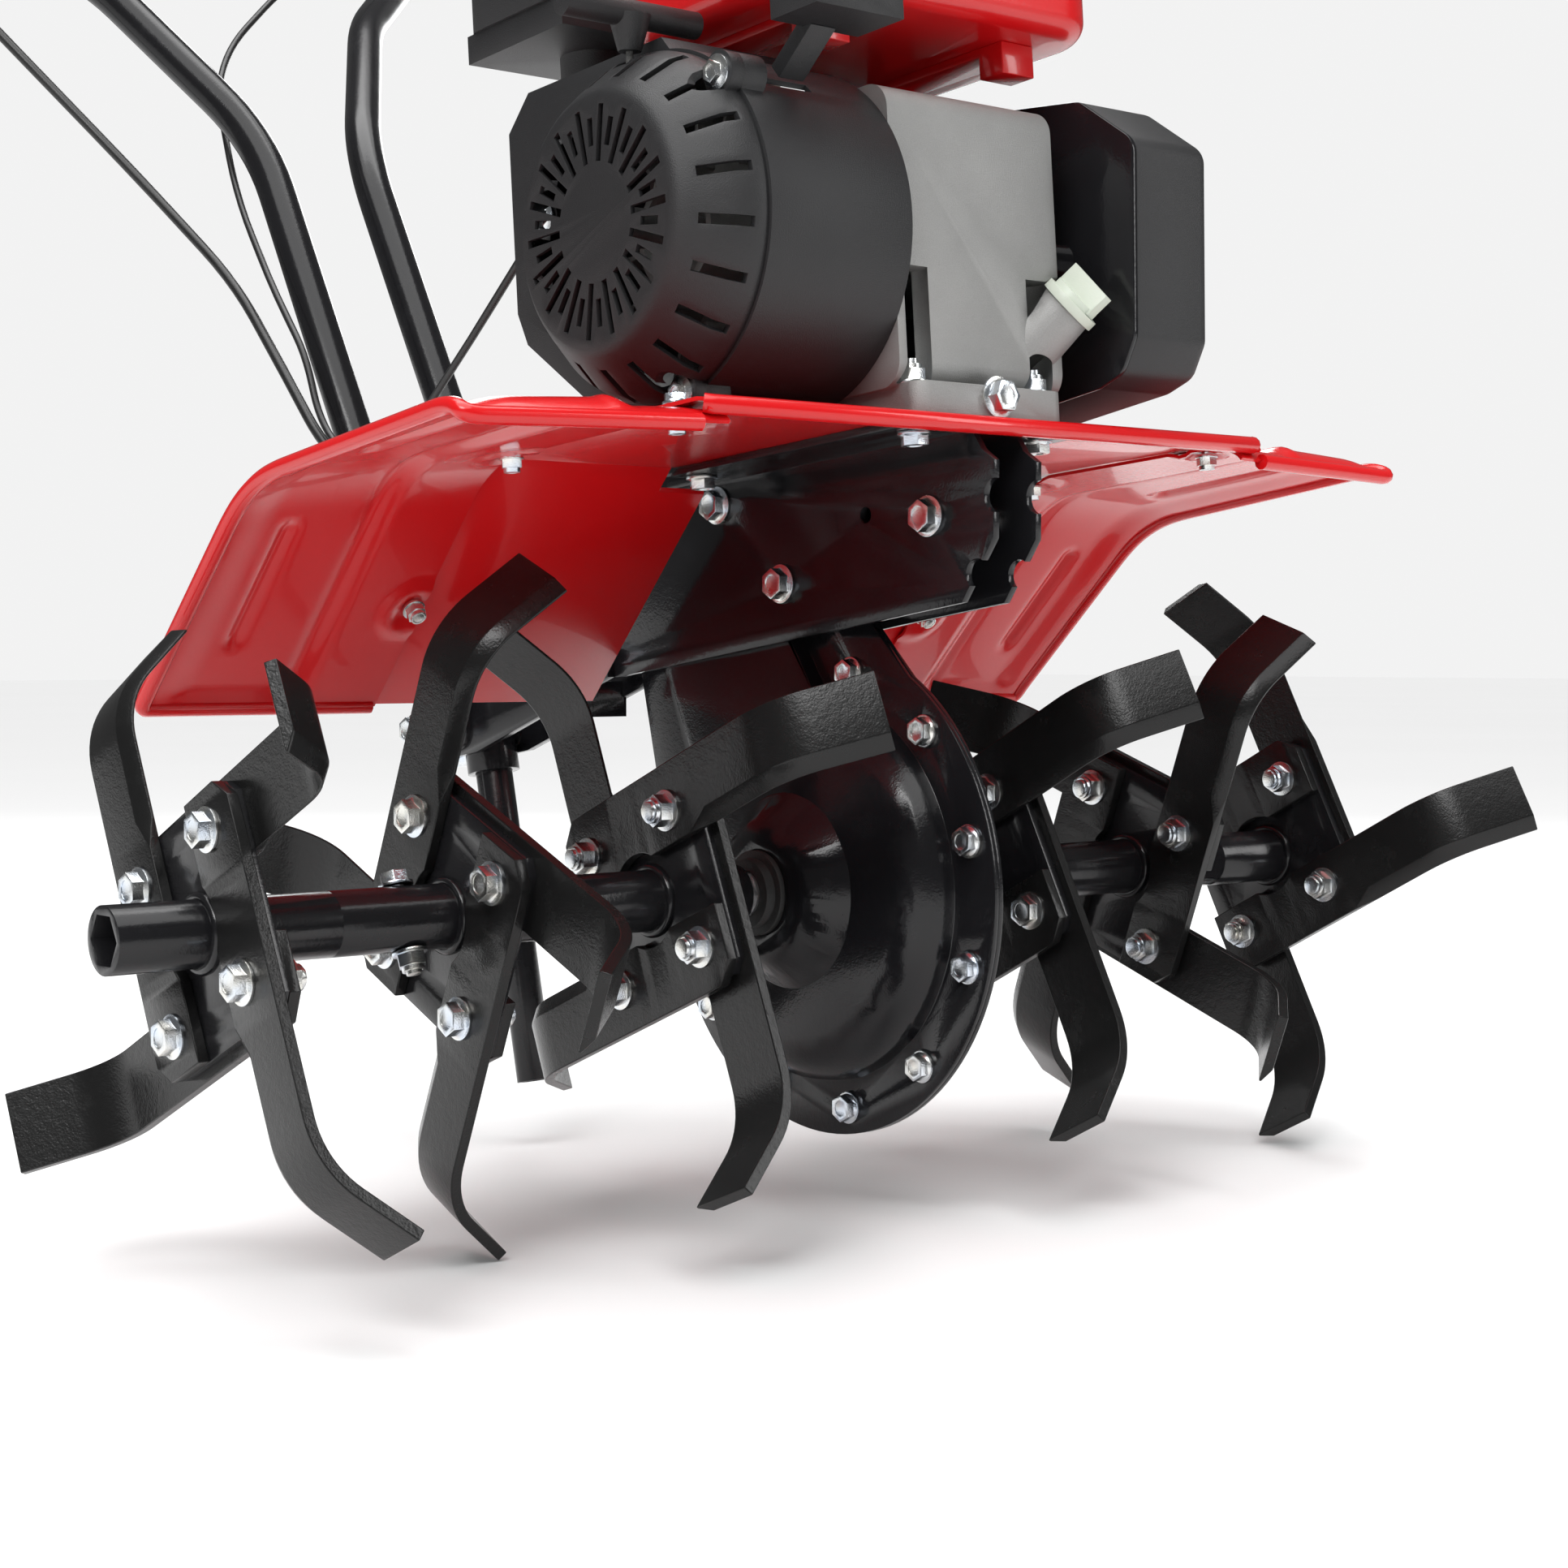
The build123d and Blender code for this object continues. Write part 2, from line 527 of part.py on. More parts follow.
def wing_profile(share):
    """Wing's upper side at a share of the way from its inner to its outer edge."""
    top = strip(panel_top(), FENDER_SHEET + 0.05)[:-6:-1]
    drop_front = (deck_top(FENDER_FRONT) - WING_FRONT_Z) * share
    drop_bend = (deck_top(FENDER_BEND) - WING_BEND_Z) * share
    back = 9.0 * share
    return [
        (top[0][0] + back, top[0][1] - drop_front), (top[1][0] + back, top[1][1] - drop_front),
        (top[2][0] + back, top[2][1] - drop_front), (top[3][0], top[3][1] - drop_bend),
        top[4]]


def wing(side):
    inner = Plane.YZ.offset(WING_INNER) * Polyline(
        *strip(wing_profile(0.0), FENDER_SHEET), close=True)
    outer = Plane.YZ.offset(WING_EDGE) * Polyline(
        *strip(wing_profile(1.0), FENDER_SHEET), close=True)
    sheet = loft([make_face(inner), make_face(outer)], ruled=True)
    edge = [Vector(WING_EDGE, y, z - FENDER_SHEET / 2) for y, z in wing_profile(1.0)[1:]]
    for start, end in zip(edge, edge[1:]):
        run = end - start
        bead = Cylinder(BEAD_RADIUS, run.length)
        sheet += Plane(origin=(start + end) * 0.5, z_dir=run).location * bead
    for corner in edge:
        sheet += Pos(*corner) * Sphere(BEAD_RADIUS)
    for x, y in WING_BOLTS:
        sheet -= wing_bolt_place(1, x, y) * Cylinder(3.0 + HOLE_PLAY, 24)
    return sheet if side > 0 else mirror(sheet, Plane.YZ)


WING_BOLTS = [(191.0, -110.0), (191.0, 30.0), (191.0, 130.0)]


def wing_bolt_place(side, x, y):
    """Location of a fender bolt, on the centre panel's upper side."""
    top = panel_top()
    start, end = (top[2], top[3]) if y < FENDER_BEND else (top[3], top[4])
    share = (y - start[0]) / (end[0] - start[0])
    level = start[1] + share * (end[1] - start[1])
    lean = math.degrees(math.atan2(start[1] - end[1], end[0] - start[0]))
    return Pos(side * x, y, level) * Rot(-lean, 0, 0)


panel = side_shape(strip(panel_top(), FENDER_SHEET), -PANEL_HALF, PANEL_HALF)
panel -= block(-DECK_REAR_EDGE - 5, DECK_REAR_EDGE + 5, 64, 260, 80, 270)
panel -= block(-DECK_EDGE - 1.5, DECK_EDGE + 1.5, 58.5, 71, 150, 270)
for side in (-1, 1):
    for x, y in WING_BOLTS:
        panel -= wing_bolt_place(side, x, y) * Cylinder(3.0 + HOLE_PLAY, 24)
    for bolt_y in (-BASE_BOLT_Y, BASE_BOLT_Y):
        panel -= ENGINE * Pos(side * BASE_BOLT_X, bolt_y, 0) * Cylinder(4.0 + HOLE_PLAY, 40)
parts["fender_centre"] = panel
parts["fender_wing_right"] = wing(-1)
parts["fender_wing_left"] = wing(1)

fender_bolts = []
for side in (-1, 1):
    for x, y in WING_BOLTS:
        at_bolt = wing_bolt_place(side, x, y)
        fender_bolts.append(at_bolt * flange_bolt(3.0, 14, M6_FLATS, M6_FLANGE))
        fender_bolts.append(at_bolt * Pos(0, 0, -2 * FENDER_SHEET - 1.7) * Rot(180, 0, 0)
                            * lock_nut(3.0, M6_FLATS, M6_FLANGE))
parts["fender_bolts"] = fender_bolts


# -------------------------------------------------------------------- engine
# Built level on its own base, then set on the sloping deck.
CRANK = Pos(0, CRANK_Y, CRANK_Z)


def add_engine(name, shape):
    if isinstance(shape, list):
        parts[name] = [ENGINE * piece for piece in shape]
    else:
        parts[name] = ENGINE * shape


base = block(-53, 53, -103, 103, 0, BASE_THICK)
base = fillet(base.edges().filter_by(Axis.Z), 9)
body = block(CASE_LEFT, CASE_RIGHT, -95, 62, BASE_THICK - 2, 172)
body = fillet(body.edges().filter_by(Axis.X), 14)
crankcase = base + body
crankcase -= block(-44, 46, -82, 48, 22, 158)
boss = Pos(44, -80, 42) * toward((0.41, -0.66, 0.63)) * Pos(0, 0, 12) * Cone(19, 15, 44)
crankcase += boss
crankcase -= Pos(44, -80, 42) * toward((0.41, -0.66, 0.63)) * Cylinder(11.2, 80)
crankcase -= Pos(44, -80, 42) * toward((0.41, -0.66, 0.63)) * Pos(0, 0, 64) * Cylinder(18, 60)
crankcase -= rod_x(10.0 + SHAFT_PLAY, -80, 80, CRANK_Y, CRANK_Z)
crankcase -= rod_x(32, CASE_RIGHT - 16, CASE_RIGHT - 3, CRANK_Y, CRANK_Z)
for x in (-BASE_BOLT_X, BASE_BOLT_X):
    for y in (-BASE_BOLT_Y, BASE_BOLT_Y):
        crankcase -= Pos(x, y, 0) * Cylinder(4.0 + HOLE_PLAY, 80)
        crankcase -= Pos(x, y, BASE_THICK + 30) * Cylinder(11, 60)
crankcase -= Pos(2, -103, 12) * Rot(90, 0, 0) * Cylinder(5.0, 30)
add_engine("crankcase", crankcase)

base_bolts = []
for x in (-BASE_BOLT_X, BASE_BOLT_X):
    for y in (-BASE_BOLT_Y, BASE_BOLT_Y):
        under = DECK_THICK + FENDER_SHEET + 0.3
        base_bolts.append(Pos(x, y, -under) * Rot(180, 0, 0) * flange_bolt(
            4.0, under + BASE_THICK + 13, M8_FLATS, M8_FLANGE))
        base_bolts.append(Pos(x, y, BASE_THICK) * lock_nut(4.0, M8_FLATS, M8_FLANGE))
add_engine("engine_base_bolts", base_bolts)

drain = Pos(2, -103, 12) * Rot(90, 0, 0) * flange_bolt(4.9, 14, M10_FLATS, M10_FLANGE)
add_engine("drain_plug", drain)
cap_place = Pos(44, -80, 42) * toward((0.41, -0.66, 0.63)) * Pos(0, 0, 36.6)
cap = Cylinder(17, 5) + Pos(0, 0, 3) * Cylinder(14, 6) + Pos(0, 0, 10) * Box(30, 6, 14)
cap += Pos(0, 0, -14) * Cylinder(10.8, 26)
add_engine("oil_filler_cap", cap_place * cap)

crankshaft = rod_x(10, -176, PULLEY_X + 16) + rod_x(30, -38, 38)
crankshaft -= rod_x(22, -18, 18)
crankshaft += rod_x(10, -176, PULLEY_X + 16)
add_engine("crankshaft", CRANK * crankshaft)

flywheel = rod_x(72, -98, -78) - rod_x(56, -92, -70) + rod_x(18, -98, -78)
for blade_number in range(16):
    fin = block(-122, -97, -1.2, 1.2, 44, 76)
    flywheel += Rot(blade_number * 22.5, 0, 0) * fin
flywheel += rod_x(30, -140, -97) - rod_x(26, -141, -124)
flywheel -= rod_x(10.05, -180, 0)
add_engine("flywheel_fan", CRANK * flywheel)

shroud_side = [
    (CRANK_Y, CRANK_Z - SHROUD_RADIUS), (40, 18), (100, 62), (108, 80), (108, 178),
    (88, 196), (-30, 196), (CRANK_Y - SHROUD_RADIUS, CRANK_Z)]
outline = side_shape(shroud_side, SHROUD_FACE, SHROUD_BACK)
outline += rod_x(SHROUD_RADIUS, SHROUD_FACE, SHROUD_BACK, CRANK_Y, CRANK_Z)
inside_side = [
    (CRANK_Y, CRANK_Z - 86), (38, 22), (97, 65), (104, 82), (104, 176), (86, 192),
    (-28, 192), (CRANK_Y - 86, CRANK_Z)]
inside = side_shape(inside_side, SHROUD_FACE + SHELL_WALL, 0)
inside += rod_x(SHROUD_RADIUS - SHELL_WALL, SHROUD_FACE + SHELL_WALL, 0, CRANK_Y, CRANK_Z)
shroud = outline - inside
shroud -= rod_x(79, SHROUD_FACE - 1, SHROUD_FACE + 8, CRANK_Y, CRANK_Z)
for turn in SHROUD_BOLT_TURNS:
    y, z = circle_point(turn, SHROUD_BOLT_CIRCLE)
    shroud += rod_x(11, SHROUD_FACE, SHROUD_FACE + 14, CRANK_Y + y, CRANK_Z + z)
    shroud -= rod_x(3.0 + HOLE_PLAY, SHROUD_FACE - 1, -100, CRANK_Y + y, CRANK_Z + z)

face = RECOIL_FACE
cover = round_body([
    (SHROUD_FACE, 0), (SHROUD_FACE, 88), (SHROUD_FACE - 6, 88), (SHROUD_FACE - 16, 84),
    (SHROUD_FACE - 30, 73), (face + 3, GRILLE_RADIUS + 1), (face, GRILLE_RADIUS - 3),
    (face, 0)])
cover -= round_body([
    (SHROUD_FACE + 1, 0), (SHROUD_FACE + 1, 85.5), (SHROUD_FACE - 5, 85),
    (SHROUD_FACE - 15, 81), (SHROUD_FACE - 28, 71), (face + 5, GRILLE_RADIUS - 2),
    (face + SHELL_WALL, GRILLE_RADIUS - 5), (face + SHELL_WALL, 0)])
for slot_number in range(36):
    reach = 58 if slot_number % 2 else 52
    start = 30 if slot_number % 2 else 38
    slot = block(face - 2, face + 6, -2.1, 2.1, start, reach)
    cover -= Rot(slot_number * 10, 0, 0) * slot
for slot_number in range(20):
    slot = block(SHROUD_FACE - 31, SHROUD_FACE - 8, -2.6, 2.6, 60, 95)
    cover -= Rot(slot_number * 18 + 9, 0, 0) * slot
cover -= block(-170, -156, -6, 6, 60, 100)
for turn in SHROUD_BOLT_TURNS:
    y, z = circle_point(turn, SHROUD_BOLT_CIRCLE)
    cover += rod_x(11, SHROUD_FACE - 8, SHROUD_FACE, y, z)
    cover -= rod_x(10, SHROUD_FACE - 40, SHROUD_FACE - 8, y, z)
    cover -= rod_x(3.0 + HOLE_PLAY, SHROUD_FACE - 10, SHROUD_FACE + 1, y, z)
add_engine("recoil_cover", CRANK * cover)

shroud_bolts = []
for turn in SHROUD_BOLT_TURNS:
    y, z = circle_point(turn, SHROUD_BOLT_CIRCLE)
    at_bolt = Pos(SHROUD_FACE - 8, CRANK_Y + y, CRANK_Z + z) * Rot(0, -90, 0)
    shroud_bolts.append(at_bolt * flange_bolt(3.0, 18, M6_FLATS, M8_FLANGE))
add_engine("shroud_bolts", shroud_bolts)

barrel_lean = Pos(0, CRANK_Y, CRANK_Z) * Rot(CYLINDER_TILT, 0, 0)
barrel = Pos(4, 106, 6) * Box(76, 99.9, 76)
barrel = fillet(barrel.edges().filter_by(Axis.Y), 10)
for fin_number in range(8):
    fin = Pos(4, 66 + fin_number * 12, 6) * Box(98, 3, 96)
    barrel += fin
add_engine("cylinder_block", barrel_lean * barrel - body)
head = Pos(4, 172, 6) * Box(96, 32, 94)
head = fillet(head.edges().filter_by(Axis.Y), 12)
for fin_number in range(4):
    head -= Pos(4, 162 + fin_number * 7, 46) * Box(120, 3, 20)
add_engine("cylinder_head", barrel_lean * head)
valve_cover = Pos(4, 200, 6) * Box(84, 23.8, 72)
valve_cover = fillet(valve_cover.edges().filter_by(Axis.Y), 14)
valve_cover = fillet(valve_cover.faces().sort_by(Axis.Y)[-1].edges(), 6)
add_engine("valve_cover", barrel_lean * valve_cover)
muffler = block(14, 108, 72, 168, 246, 306)
muffler = fillet(muffler.edges().filter_by(Axis.X), 24)
muffler += Pos(40, 118, 239.5) * Cylinder(11, 21)
add_engine("muffler", muffler)
guard = block(8, 114, 66, 174, 256, 314) - block(11, 111, 69, 171, 200, 311)
for row in range(6):
    for column in range(4):
        guard -= Pos(19 + row * 17, 84 + column * 24, 312) * Box(10, 14, 20)
add_engine("muffler_guard", guard)
cleaner_base = block(-128, -14, 84, 176, 236, 252)
cleaner_base += Pos(-74, 130, 215) * Cylinder(19, 46)
add_engine("air_cleaner_base", cleaner_base)
cleaner_cover = block(-130, -12, 82, 178, 252, 316)
cleaner_cover = fillet(cleaner_cover.edges().filter_by(Axis.Z), 16)
cleaner_cover = fillet(cleaner_cover.faces().sort_by(Axis.Z)[-1].edges(), 12)
cleaner_cover -= block(-126, -16, 86, 174, 240, 306)
add_engine("air_cleaner_cover", cleaner_cover)
carburettor = Pos(-74, 130, 160) * Cylinder(16, 34) + Pos(-74, 130, 184.5) * Box(36, 44, 15)
carburettor += rod_x(5, -100, -78, 120, 175)
add_engine("carburettor", carburettor)

tank = block(-112, 108, -98, 62, 214, 304)
tank = fillet(tank.edges().filter_by(Axis.Z), 34)
tank = fillet(tank.faces().sort_by(Axis.Z)[-1].edges(), 20)
tank = fillet(tank.faces().sort_by(Axis.Z)[0].edges(), 12)
tank += Pos(-20, -20, 306) * Cylinder(27, 12)
add_engine("fuel_tank", tank)
cap = Pos(-20, -20, 325) * Cylinder(33, 22)
for rib in range(12):
    cap += Pos(-20, -20, 325) * Rot(0, 0, rib * 30) * Pos(33, 0, 0) * Cylinder(3, 20)
add_engine("fuel_cap", cap)
stays = []
for x in (-70, 64):
    stays.append(block(x - 12, x + 12, -70, 40, 196.5, 214) - block(x - 13, x + 13, -52, 24, 190, 209))
add_engine("tank_brackets", stays)

ROPE_X = -163.0
rope_start = ENGINE * Pos(ROPE_X, CRANK_Y, CRANK_Z + 84)
rope_y = rope_start.position.Y
rope_z = rope_start.position.Z
grip = Pos(ROPE_X, rope_y, rope_z + 24) * (Rot(0, 90, 0) * Cylinder(7, 84))
grip += Pos(ROPE_X, rope_y, rope_z + 14) * Cone(6, 11, 18)
parts["recoil_grip"] = grip - Pos(ROPE_X, rope_y, rope_z) * Cylinder(2.05, 30)


def control_lever(z, length):
    """Flat lever on a pin that sticks out of the carburettor, pointing to the rear."""
    arm = block(-104.2, -100.2, 112, 118 + length, z - 4, z + 4)
    return arm + block(-110, -100.2, 112 + length, 124 + length, z - 6, z + 6)


add_engine("choke_lever", control_lever(175, 34))
switch_box = Pos(-118, -128, 206) * Box(56, 34, 44)
switch_box -= Pos(-118, -146, 206) * Box(24.6, 16, 19)
switch_box -= rod_x(1.8, -132.5, -103.5, -144, 206)
shroud += switch_box
add_engine("fan_shroud", shroud)
rocker = Pos(-118, -144, 206) * Box(24, 9, 16) + rod_x(1.5, -132, -104, -144, 206)
add_engine("engine_switch", rocker)


# ---------------------------------------------------------------- belt drive
crank_place = ENGINE * CRANK
crank_y = crank_place.position.Y
crank_z = crank_place.position.Z


def pulley(radius, bore):
    wheel = rod_x(radius, -9, 9) - rod_x(bore, -20, 20)
    groove = round_body([
        (-7.5, radius + 1), (-4.5, radius - BELT_DEPTH - 3), (4.5, radius - BELT_DEPTH - 3),
        (7.5, radius + 1)])
    wheel -= groove
    if radius > 50:
        for side in (-1, 1):
            wheel -= rod_x(radius - 16, side * 4, side * 10) - rod_x(16, -20, 20)
    return wheel


parts["drive_pulley"] = Pos(PULLEY_X, crank_y, crank_z) * pulley(DRIVE_PULLEY_RADIUS, 10.03)
parts["driven_pulley"] = Pos(PULLEY_X, INPUT_Y, INPUT_Z) * pulley(DRIVEN_PULLEY_RADIUS, 8.03)
belt_run = [
    (crank_y, crank_z, DRIVE_PULLEY_RADIUS + 0.3), (INPUT_Y, INPUT_Z, DRIVEN_PULLEY_RADIUS + 0.3)]
slim = [(y, z, radius - BELT_DEPTH) for y, z, radius in belt_run]
belt = belt_shape(belt_run, PULLEY_X - 4.2, PULLEY_X + 4.2)
belt -= belt_shape(slim, PULLEY_X - 20, PULLEY_X + 20)
parts["drive_belt"] = belt

idler_y = (crank_y + INPUT_Y) / 2 + 12
idler_z = (crank_z + INPUT_Z) / 2 + 76
idler = rod_x(22, PULLEY_X - 9, PULLEY_X + 9, idler_y, idler_z)
idler -= rod_x(6.05, 0, 200, idler_y, idler_z)
parts["idler_pulley"] = idler
pivot_y = idler_y + 52
pivot_z = idler_z + 26
arm = belt_shape([(idler_y, idler_z, 13), (pivot_y, pivot_z, 13.5)], PULLEY_X - 16, PULLEY_X - 10)
arm += rod_x(6.0, PULLEY_X - 12, PULLEY_X + 13, idler_y, idler_z)
arm -= rod_x(6.05, 0, 200, pivot_y, pivot_z)
parts["idler_arm"] = arm

cover_outline = [
    (-152, 300), (-143, 281), (-126, 274), (70, 240), (108, 210), (150, 201), (190, 212),
    (208, 245), (208, 340), (150, 432), (110, 444), (-110, 430), (-150, 404)]
cover = side_shape(cover_outline, COVER_INNER, COVER_OUTER)
cover = fillet(cover.edges().filter_by(Axis.X), 12)
cover = fillet(cover.faces().sort_by(Axis.X)[-1].edges(), 10)
inner_outline = [
    (-148, 302), (-140, 285), (-124, 278), (72, 244), (110, 214), (150, 205), (187, 216),
    (204, 247), (204, 339), (147, 428), (110, 440), (-108, 426), (-146, 402)]
cover_space = side_shape(inner_outline, COVER_INNER - 1, COVER_OUTER - 3)
cover_space = fillet(cover_space.edges().filter_by(Axis.X), 9)
parts["belt_cover"] = cover - cover_space
plate = side_shape(cover_outline, COVER_INNER - 3, COVER_INNER - 0.05)
plate = fillet(plate.edges().filter_by(Axis.X), 12)
plate -= rod_x(16, 60, 100, crank_y, crank_z)
plate -= rod_x(12, 60, 100, INPUT_Y, INPUT_Z)
plate += rod_x(6.0, COVER_INNER - 3, PULLEY_X - 8, pivot_y, pivot_z)
plate += rod_x(9, CASE_RIGHT + 0.05, COVER_INNER - 2, crank_y - 55, crank_z)
plate += rod_x(9, CASE_RIGHT + 0.05, COVER_INNER - 2, crank_y + 50, crank_z + 20)
parts["belt_back_plate"] = plate

# ------------------------------------------------------- hitch and depth bar
bar_tilt = Rot(-BAR_LEAN, 0, 0)
hitch_at = Pos(0, HITCH_Y, HITCH_Z)
arm_points = [(176, 117), (176, 133), (HITCH_Y - 8, HITCH_Z + 18), (HITCH_Y + 8, HITCH_Z + 2),
              (HITCH_Y + 4, HITCH_Z - 18), (HITCH_Y - 20, HITCH_Z - 14)]
socket = hitch_at * bar_tilt * (Cylinder(17, 58) + Rot(0, 90, 0) * Cylinder(14, 2 * HANDLE_X - 30))
hitch = socket
for side in (-1, 1):
    inner = side * (FRAME_INNER + FRAME_SHEET + 0.05)
    outer = side * (FRAME_INNER + FRAME_SHEET + CHEEK_THICK)
    cheek = side_shape(arm_points, min(inner, outer), max(inner, outer))
    cheek -= rod_x(4.0 + HOLE_PLAY, -40, 40, FRAME_BOLTS[3][0], FRAME_BOLTS[3][1])
    hitch += cheek
hitch += block(-20, 20, 214, 236, 92, 114)
hitch -= hitch_at * Rot(0, 90, 0) * Cylinder(4.9, 80)
hitch -= hitch_at * bar_tilt * Cylinder(BAR_RADIUS + 0.3, 80)
hitch -= hitch_at * bar_tilt * Pos(0, 20, -12) * Rot(90, 0, 0) * Cylinder(5.1, 24)
parts["hitch_bracket"] = hitch
bar_length = BAR_BELOW + BAR_ABOVE
bar = Pos(0, 0, (BAR_ABOVE - BAR_BELOW) / 2) * Cylinder(BAR_RADIUS, bar_length)
bar -= Pos(0, 0, -BAR_BELOW) * Cylinder(BAR_RADIUS - 2.5, 120)
for hole_number in range(4):
    bar -= Pos(0, 0, 50 + hole_number * 12) * Rot(0, 90, 0) * Cylinder(3.2, 60)
parts["depth_bar"] = hitch_at * bar_tilt * bar
clamp = Cylinder(5.0, 26) + Pos(0, 0, -18) * Cylinder(3, 12)
clamp += Pos(0, 0, -24) * Rot(0, 90, 0) * Cylinder(3.5, 46)
parts["depth_clamp_screw"] = (hitch_at * bar_tilt * Pos(0, 25.6, -12) * Rot(90, 0, 0) * clamp)


# ---------------------------------------------------------------- handlebars
def handle_points(side):
    return [
        (side * HANDLE_X, HITCH_Y - 12, HITCH_Z + 6), (side * HANDLE_X, 560, 491),
        (side * 110, 668, 610), (side * HANDLE_SPREAD, 785, 708),
        (side * HANDLE_SPREAD, 985, 744)]


def tube_along(points, radius, bends):
    path = FilletPolyline(*points, radius=bends)
    start = Plane(origin=path @ 0, z_dir=path % 0)
    return sweep(start * Circle(radius), path=path)


handle_bends = [200, 160, 70]
for side, name in ((-1, "right"), (1, "left")):
    points = handle_points(side)
    tube = tube_along(points, HANDLE_RADIUS, handle_bends)
    tube -= tube_along(points, HANDLE_RADIUS - HANDLE_WALL, handle_bends)
    tube -= Pos(side * HANDLE_X, HITCH_Y, HITCH_Z) * Rot(0, 90, 0) * Cylinder(5.5, 60)
    parts["handle_" + name] = tube
    grip_start = Vector(*points[-2])
    grip_end = Vector(*points[-1])
    run = (grip_end - grip_start).normalized()
    grip_place = Plane(origin=grip_end, z_dir=run).location
    sleeve = Pos(0, 0, 2 - GRIP_LENGTH / 2) * Cylinder(GRIP_RADIUS, GRIP_LENGTH + 4)
    sleeve -= Pos(0, 0, -GRIP_LENGTH / 2 - 1) * Cylinder(HANDLE_RADIUS + 0.05, GRIP_LENGTH + 2)
    for ring in range(9):
        sleeve -= Pos(0, 0, -8 - ring * 13) * (Cylinder(18, 4) - Cylinder(15.4, 5))
    parts["grip_" + name] = grip_place * sleeve

parts["handle_bolts"] = [
    Pos(side * (HANDLE_X + 14), HITCH_Y, HITCH_Z) * Rot(0, side * 90, 0) * flange_bolt(
        4.8, 34, M10_FLATS, M10_FLANGE) for side in (-1, 1)]


# ------------------------------------------------- levers and control cables
grip_line = Vector(0, 200, 36).normalized()
grip_lean = math.degrees(math.atan2(36, 200))


def on_handle(side, back):
    """Location on a handle's straight end, back from its tip, +Y along the tube."""
    tip = Vector(side * HANDLE_SPREAD, 985, 744) - grip_line * back
    return Pos(*tip) * Rot(grip_lean, 0, 0)


bracket_at = on_handle(-1, GRIP_LENGTH + 14)
clamp_ring = Rot(90, 0, 0) * Cylinder(HANDLE_RADIUS + 4, 16)
clamp_ring += block(-10, 10, -8, 8, -34, -12)
clamp_ring -= Rot(90, 0, 0) * Cylinder(HANDLE_RADIUS + 0.05, 30)
clamp_ring -= block(-4.3, 4.3, -9, 9, -40, -17.5)
clamp_ring += rod_x(3.0, -10, 10, 0, -27)
parts["clutch_bracket"] = bracket_at * clamp_ring
lever = block(-4, 4, -7, 7, -33.5, -20.5)
lever += block(-4, 4, 5, 118, -31, -24)
lever = fillet(lever.edges().filter_by(Axis.Y), 2.0)
lever -= rod_x(3.05, -20, 20, 0, -27)
lever_rest = Pos(0, 0, -27) * Rot(-LEVER_REST, 0, 0) * Pos(0, 0, 27)
parts["clutch_lever"] = bracket_at * lever_rest * lever

throttle_at = on_handle(1, GRIP_LENGTH + 22)
housing = Rot(90, 0, 0) * Cylinder(HANDLE_RADIUS + 4, 26) + Pos(0, 0, 18) * Cylinder(15, 12)
housing -= Rot(90, 0, 0) * Cylinder(HANDLE_RADIUS + 0.05, 40)
housing -= Pos(0, 0, 22) * Cylinder(3.05, 12)
parts["throttle_housing"] = throttle_at * housing
throttle = Pos(0, 0, 25.6) * Cylinder(11, 3) + Pos(0, 0, 22) * Cylinder(3.0, 8)
throttle += block(-4, 4, -42, -6, 24.1, 27.1) + Pos(0, -42, 29) * Cylinder(7, 9.8)
parts["throttle_lever"] = throttle_at * throttle

# Each cable is held at both ends: a control on a handle, and the engine side.
CLUTCH_CABLE_RADIUS = 3.6
THROTTLE_CABLE_RADIUS = 2.4
clutch_start = bracket_at * Pos(0, -8.5, -22)
throttle_start = throttle_at * Pos(0, -16, 18)
clutch_points = [
    tuple(clutch_start.position), (-222, 765, 655), (-165, 690, 560), (-105, 625, 470),
    (-74, 538, 387), (-70, 483, 326), (-70, 430, 271), (-62, 385, 238), (0, 320, 232),
    (72, 262, 252), (110, 211, 285)]
throttle_points = [
    tuple(throttle_start.position), (205, 775, 724), (130, 705, 684), (55, 690, 640),
    (-30, 650, 560), (-60, 560, 450), (-66, 500, 380), (-70, 449, 329), (-70, 432, 285),
    (-69, 395, 255), (-70, 330, 262), (-73, 235, 330), (-74, 165, 385), (-74, 131, 395)]


def cable(points, radius):
    runs = [Vector(*b) - Vector(*a) for a, b in zip(points, points[1:])]
    radii = []
    for before, after in zip(runs, runs[1:]):
        half_turn = math.radians(before.get_angle(after)) / 2
        radii.append(0.45 * min(before.length, after.length) / math.tan(half_turn))
    print("cable radius least", round(min(radii), 1))
    return tube_along(points, radius, radii)


parts["clutch_cable"] = cable(clutch_points, CLUTCH_CABLE_RADIUS)
parts["throttle_cable"] = cable(throttle_points, THROTTLE_CABLE_RADIUS)

# ---------------------------------------- small pieces that share one node
SHARED = {
    "rotor_fasteners": ["tine_fasteners", "hub_cross_bolts"],
    "bearings_and_seals": ["shaft_seals", "shaft_bearings"],
    "frame_bolts": ["frame_bolts", "frame_spacer", "handle_bolts"],
    "engine_bolts": ["engine_base_bolts", "drain_plug", "shroud_bolts"],
    "cylinder_head": ["cylinder_head", "valve_cover"],
    "muffler": ["muffler", "muffler_guard"],
    "air_cleaner": ["air_cleaner_base", "air_cleaner_cover"],
    "fuel_tank": ["fuel_tank", "tank_brackets"],
    "filler_caps": ["fuel_cap", "oil_filler_cap"],
    "idler_arm": ["idler_arm", "idler_pulley"],
    "grips": ["grip_right", "grip_left"],
    "control_brackets": ["clutch_bracket", "throttle_housing"],
}
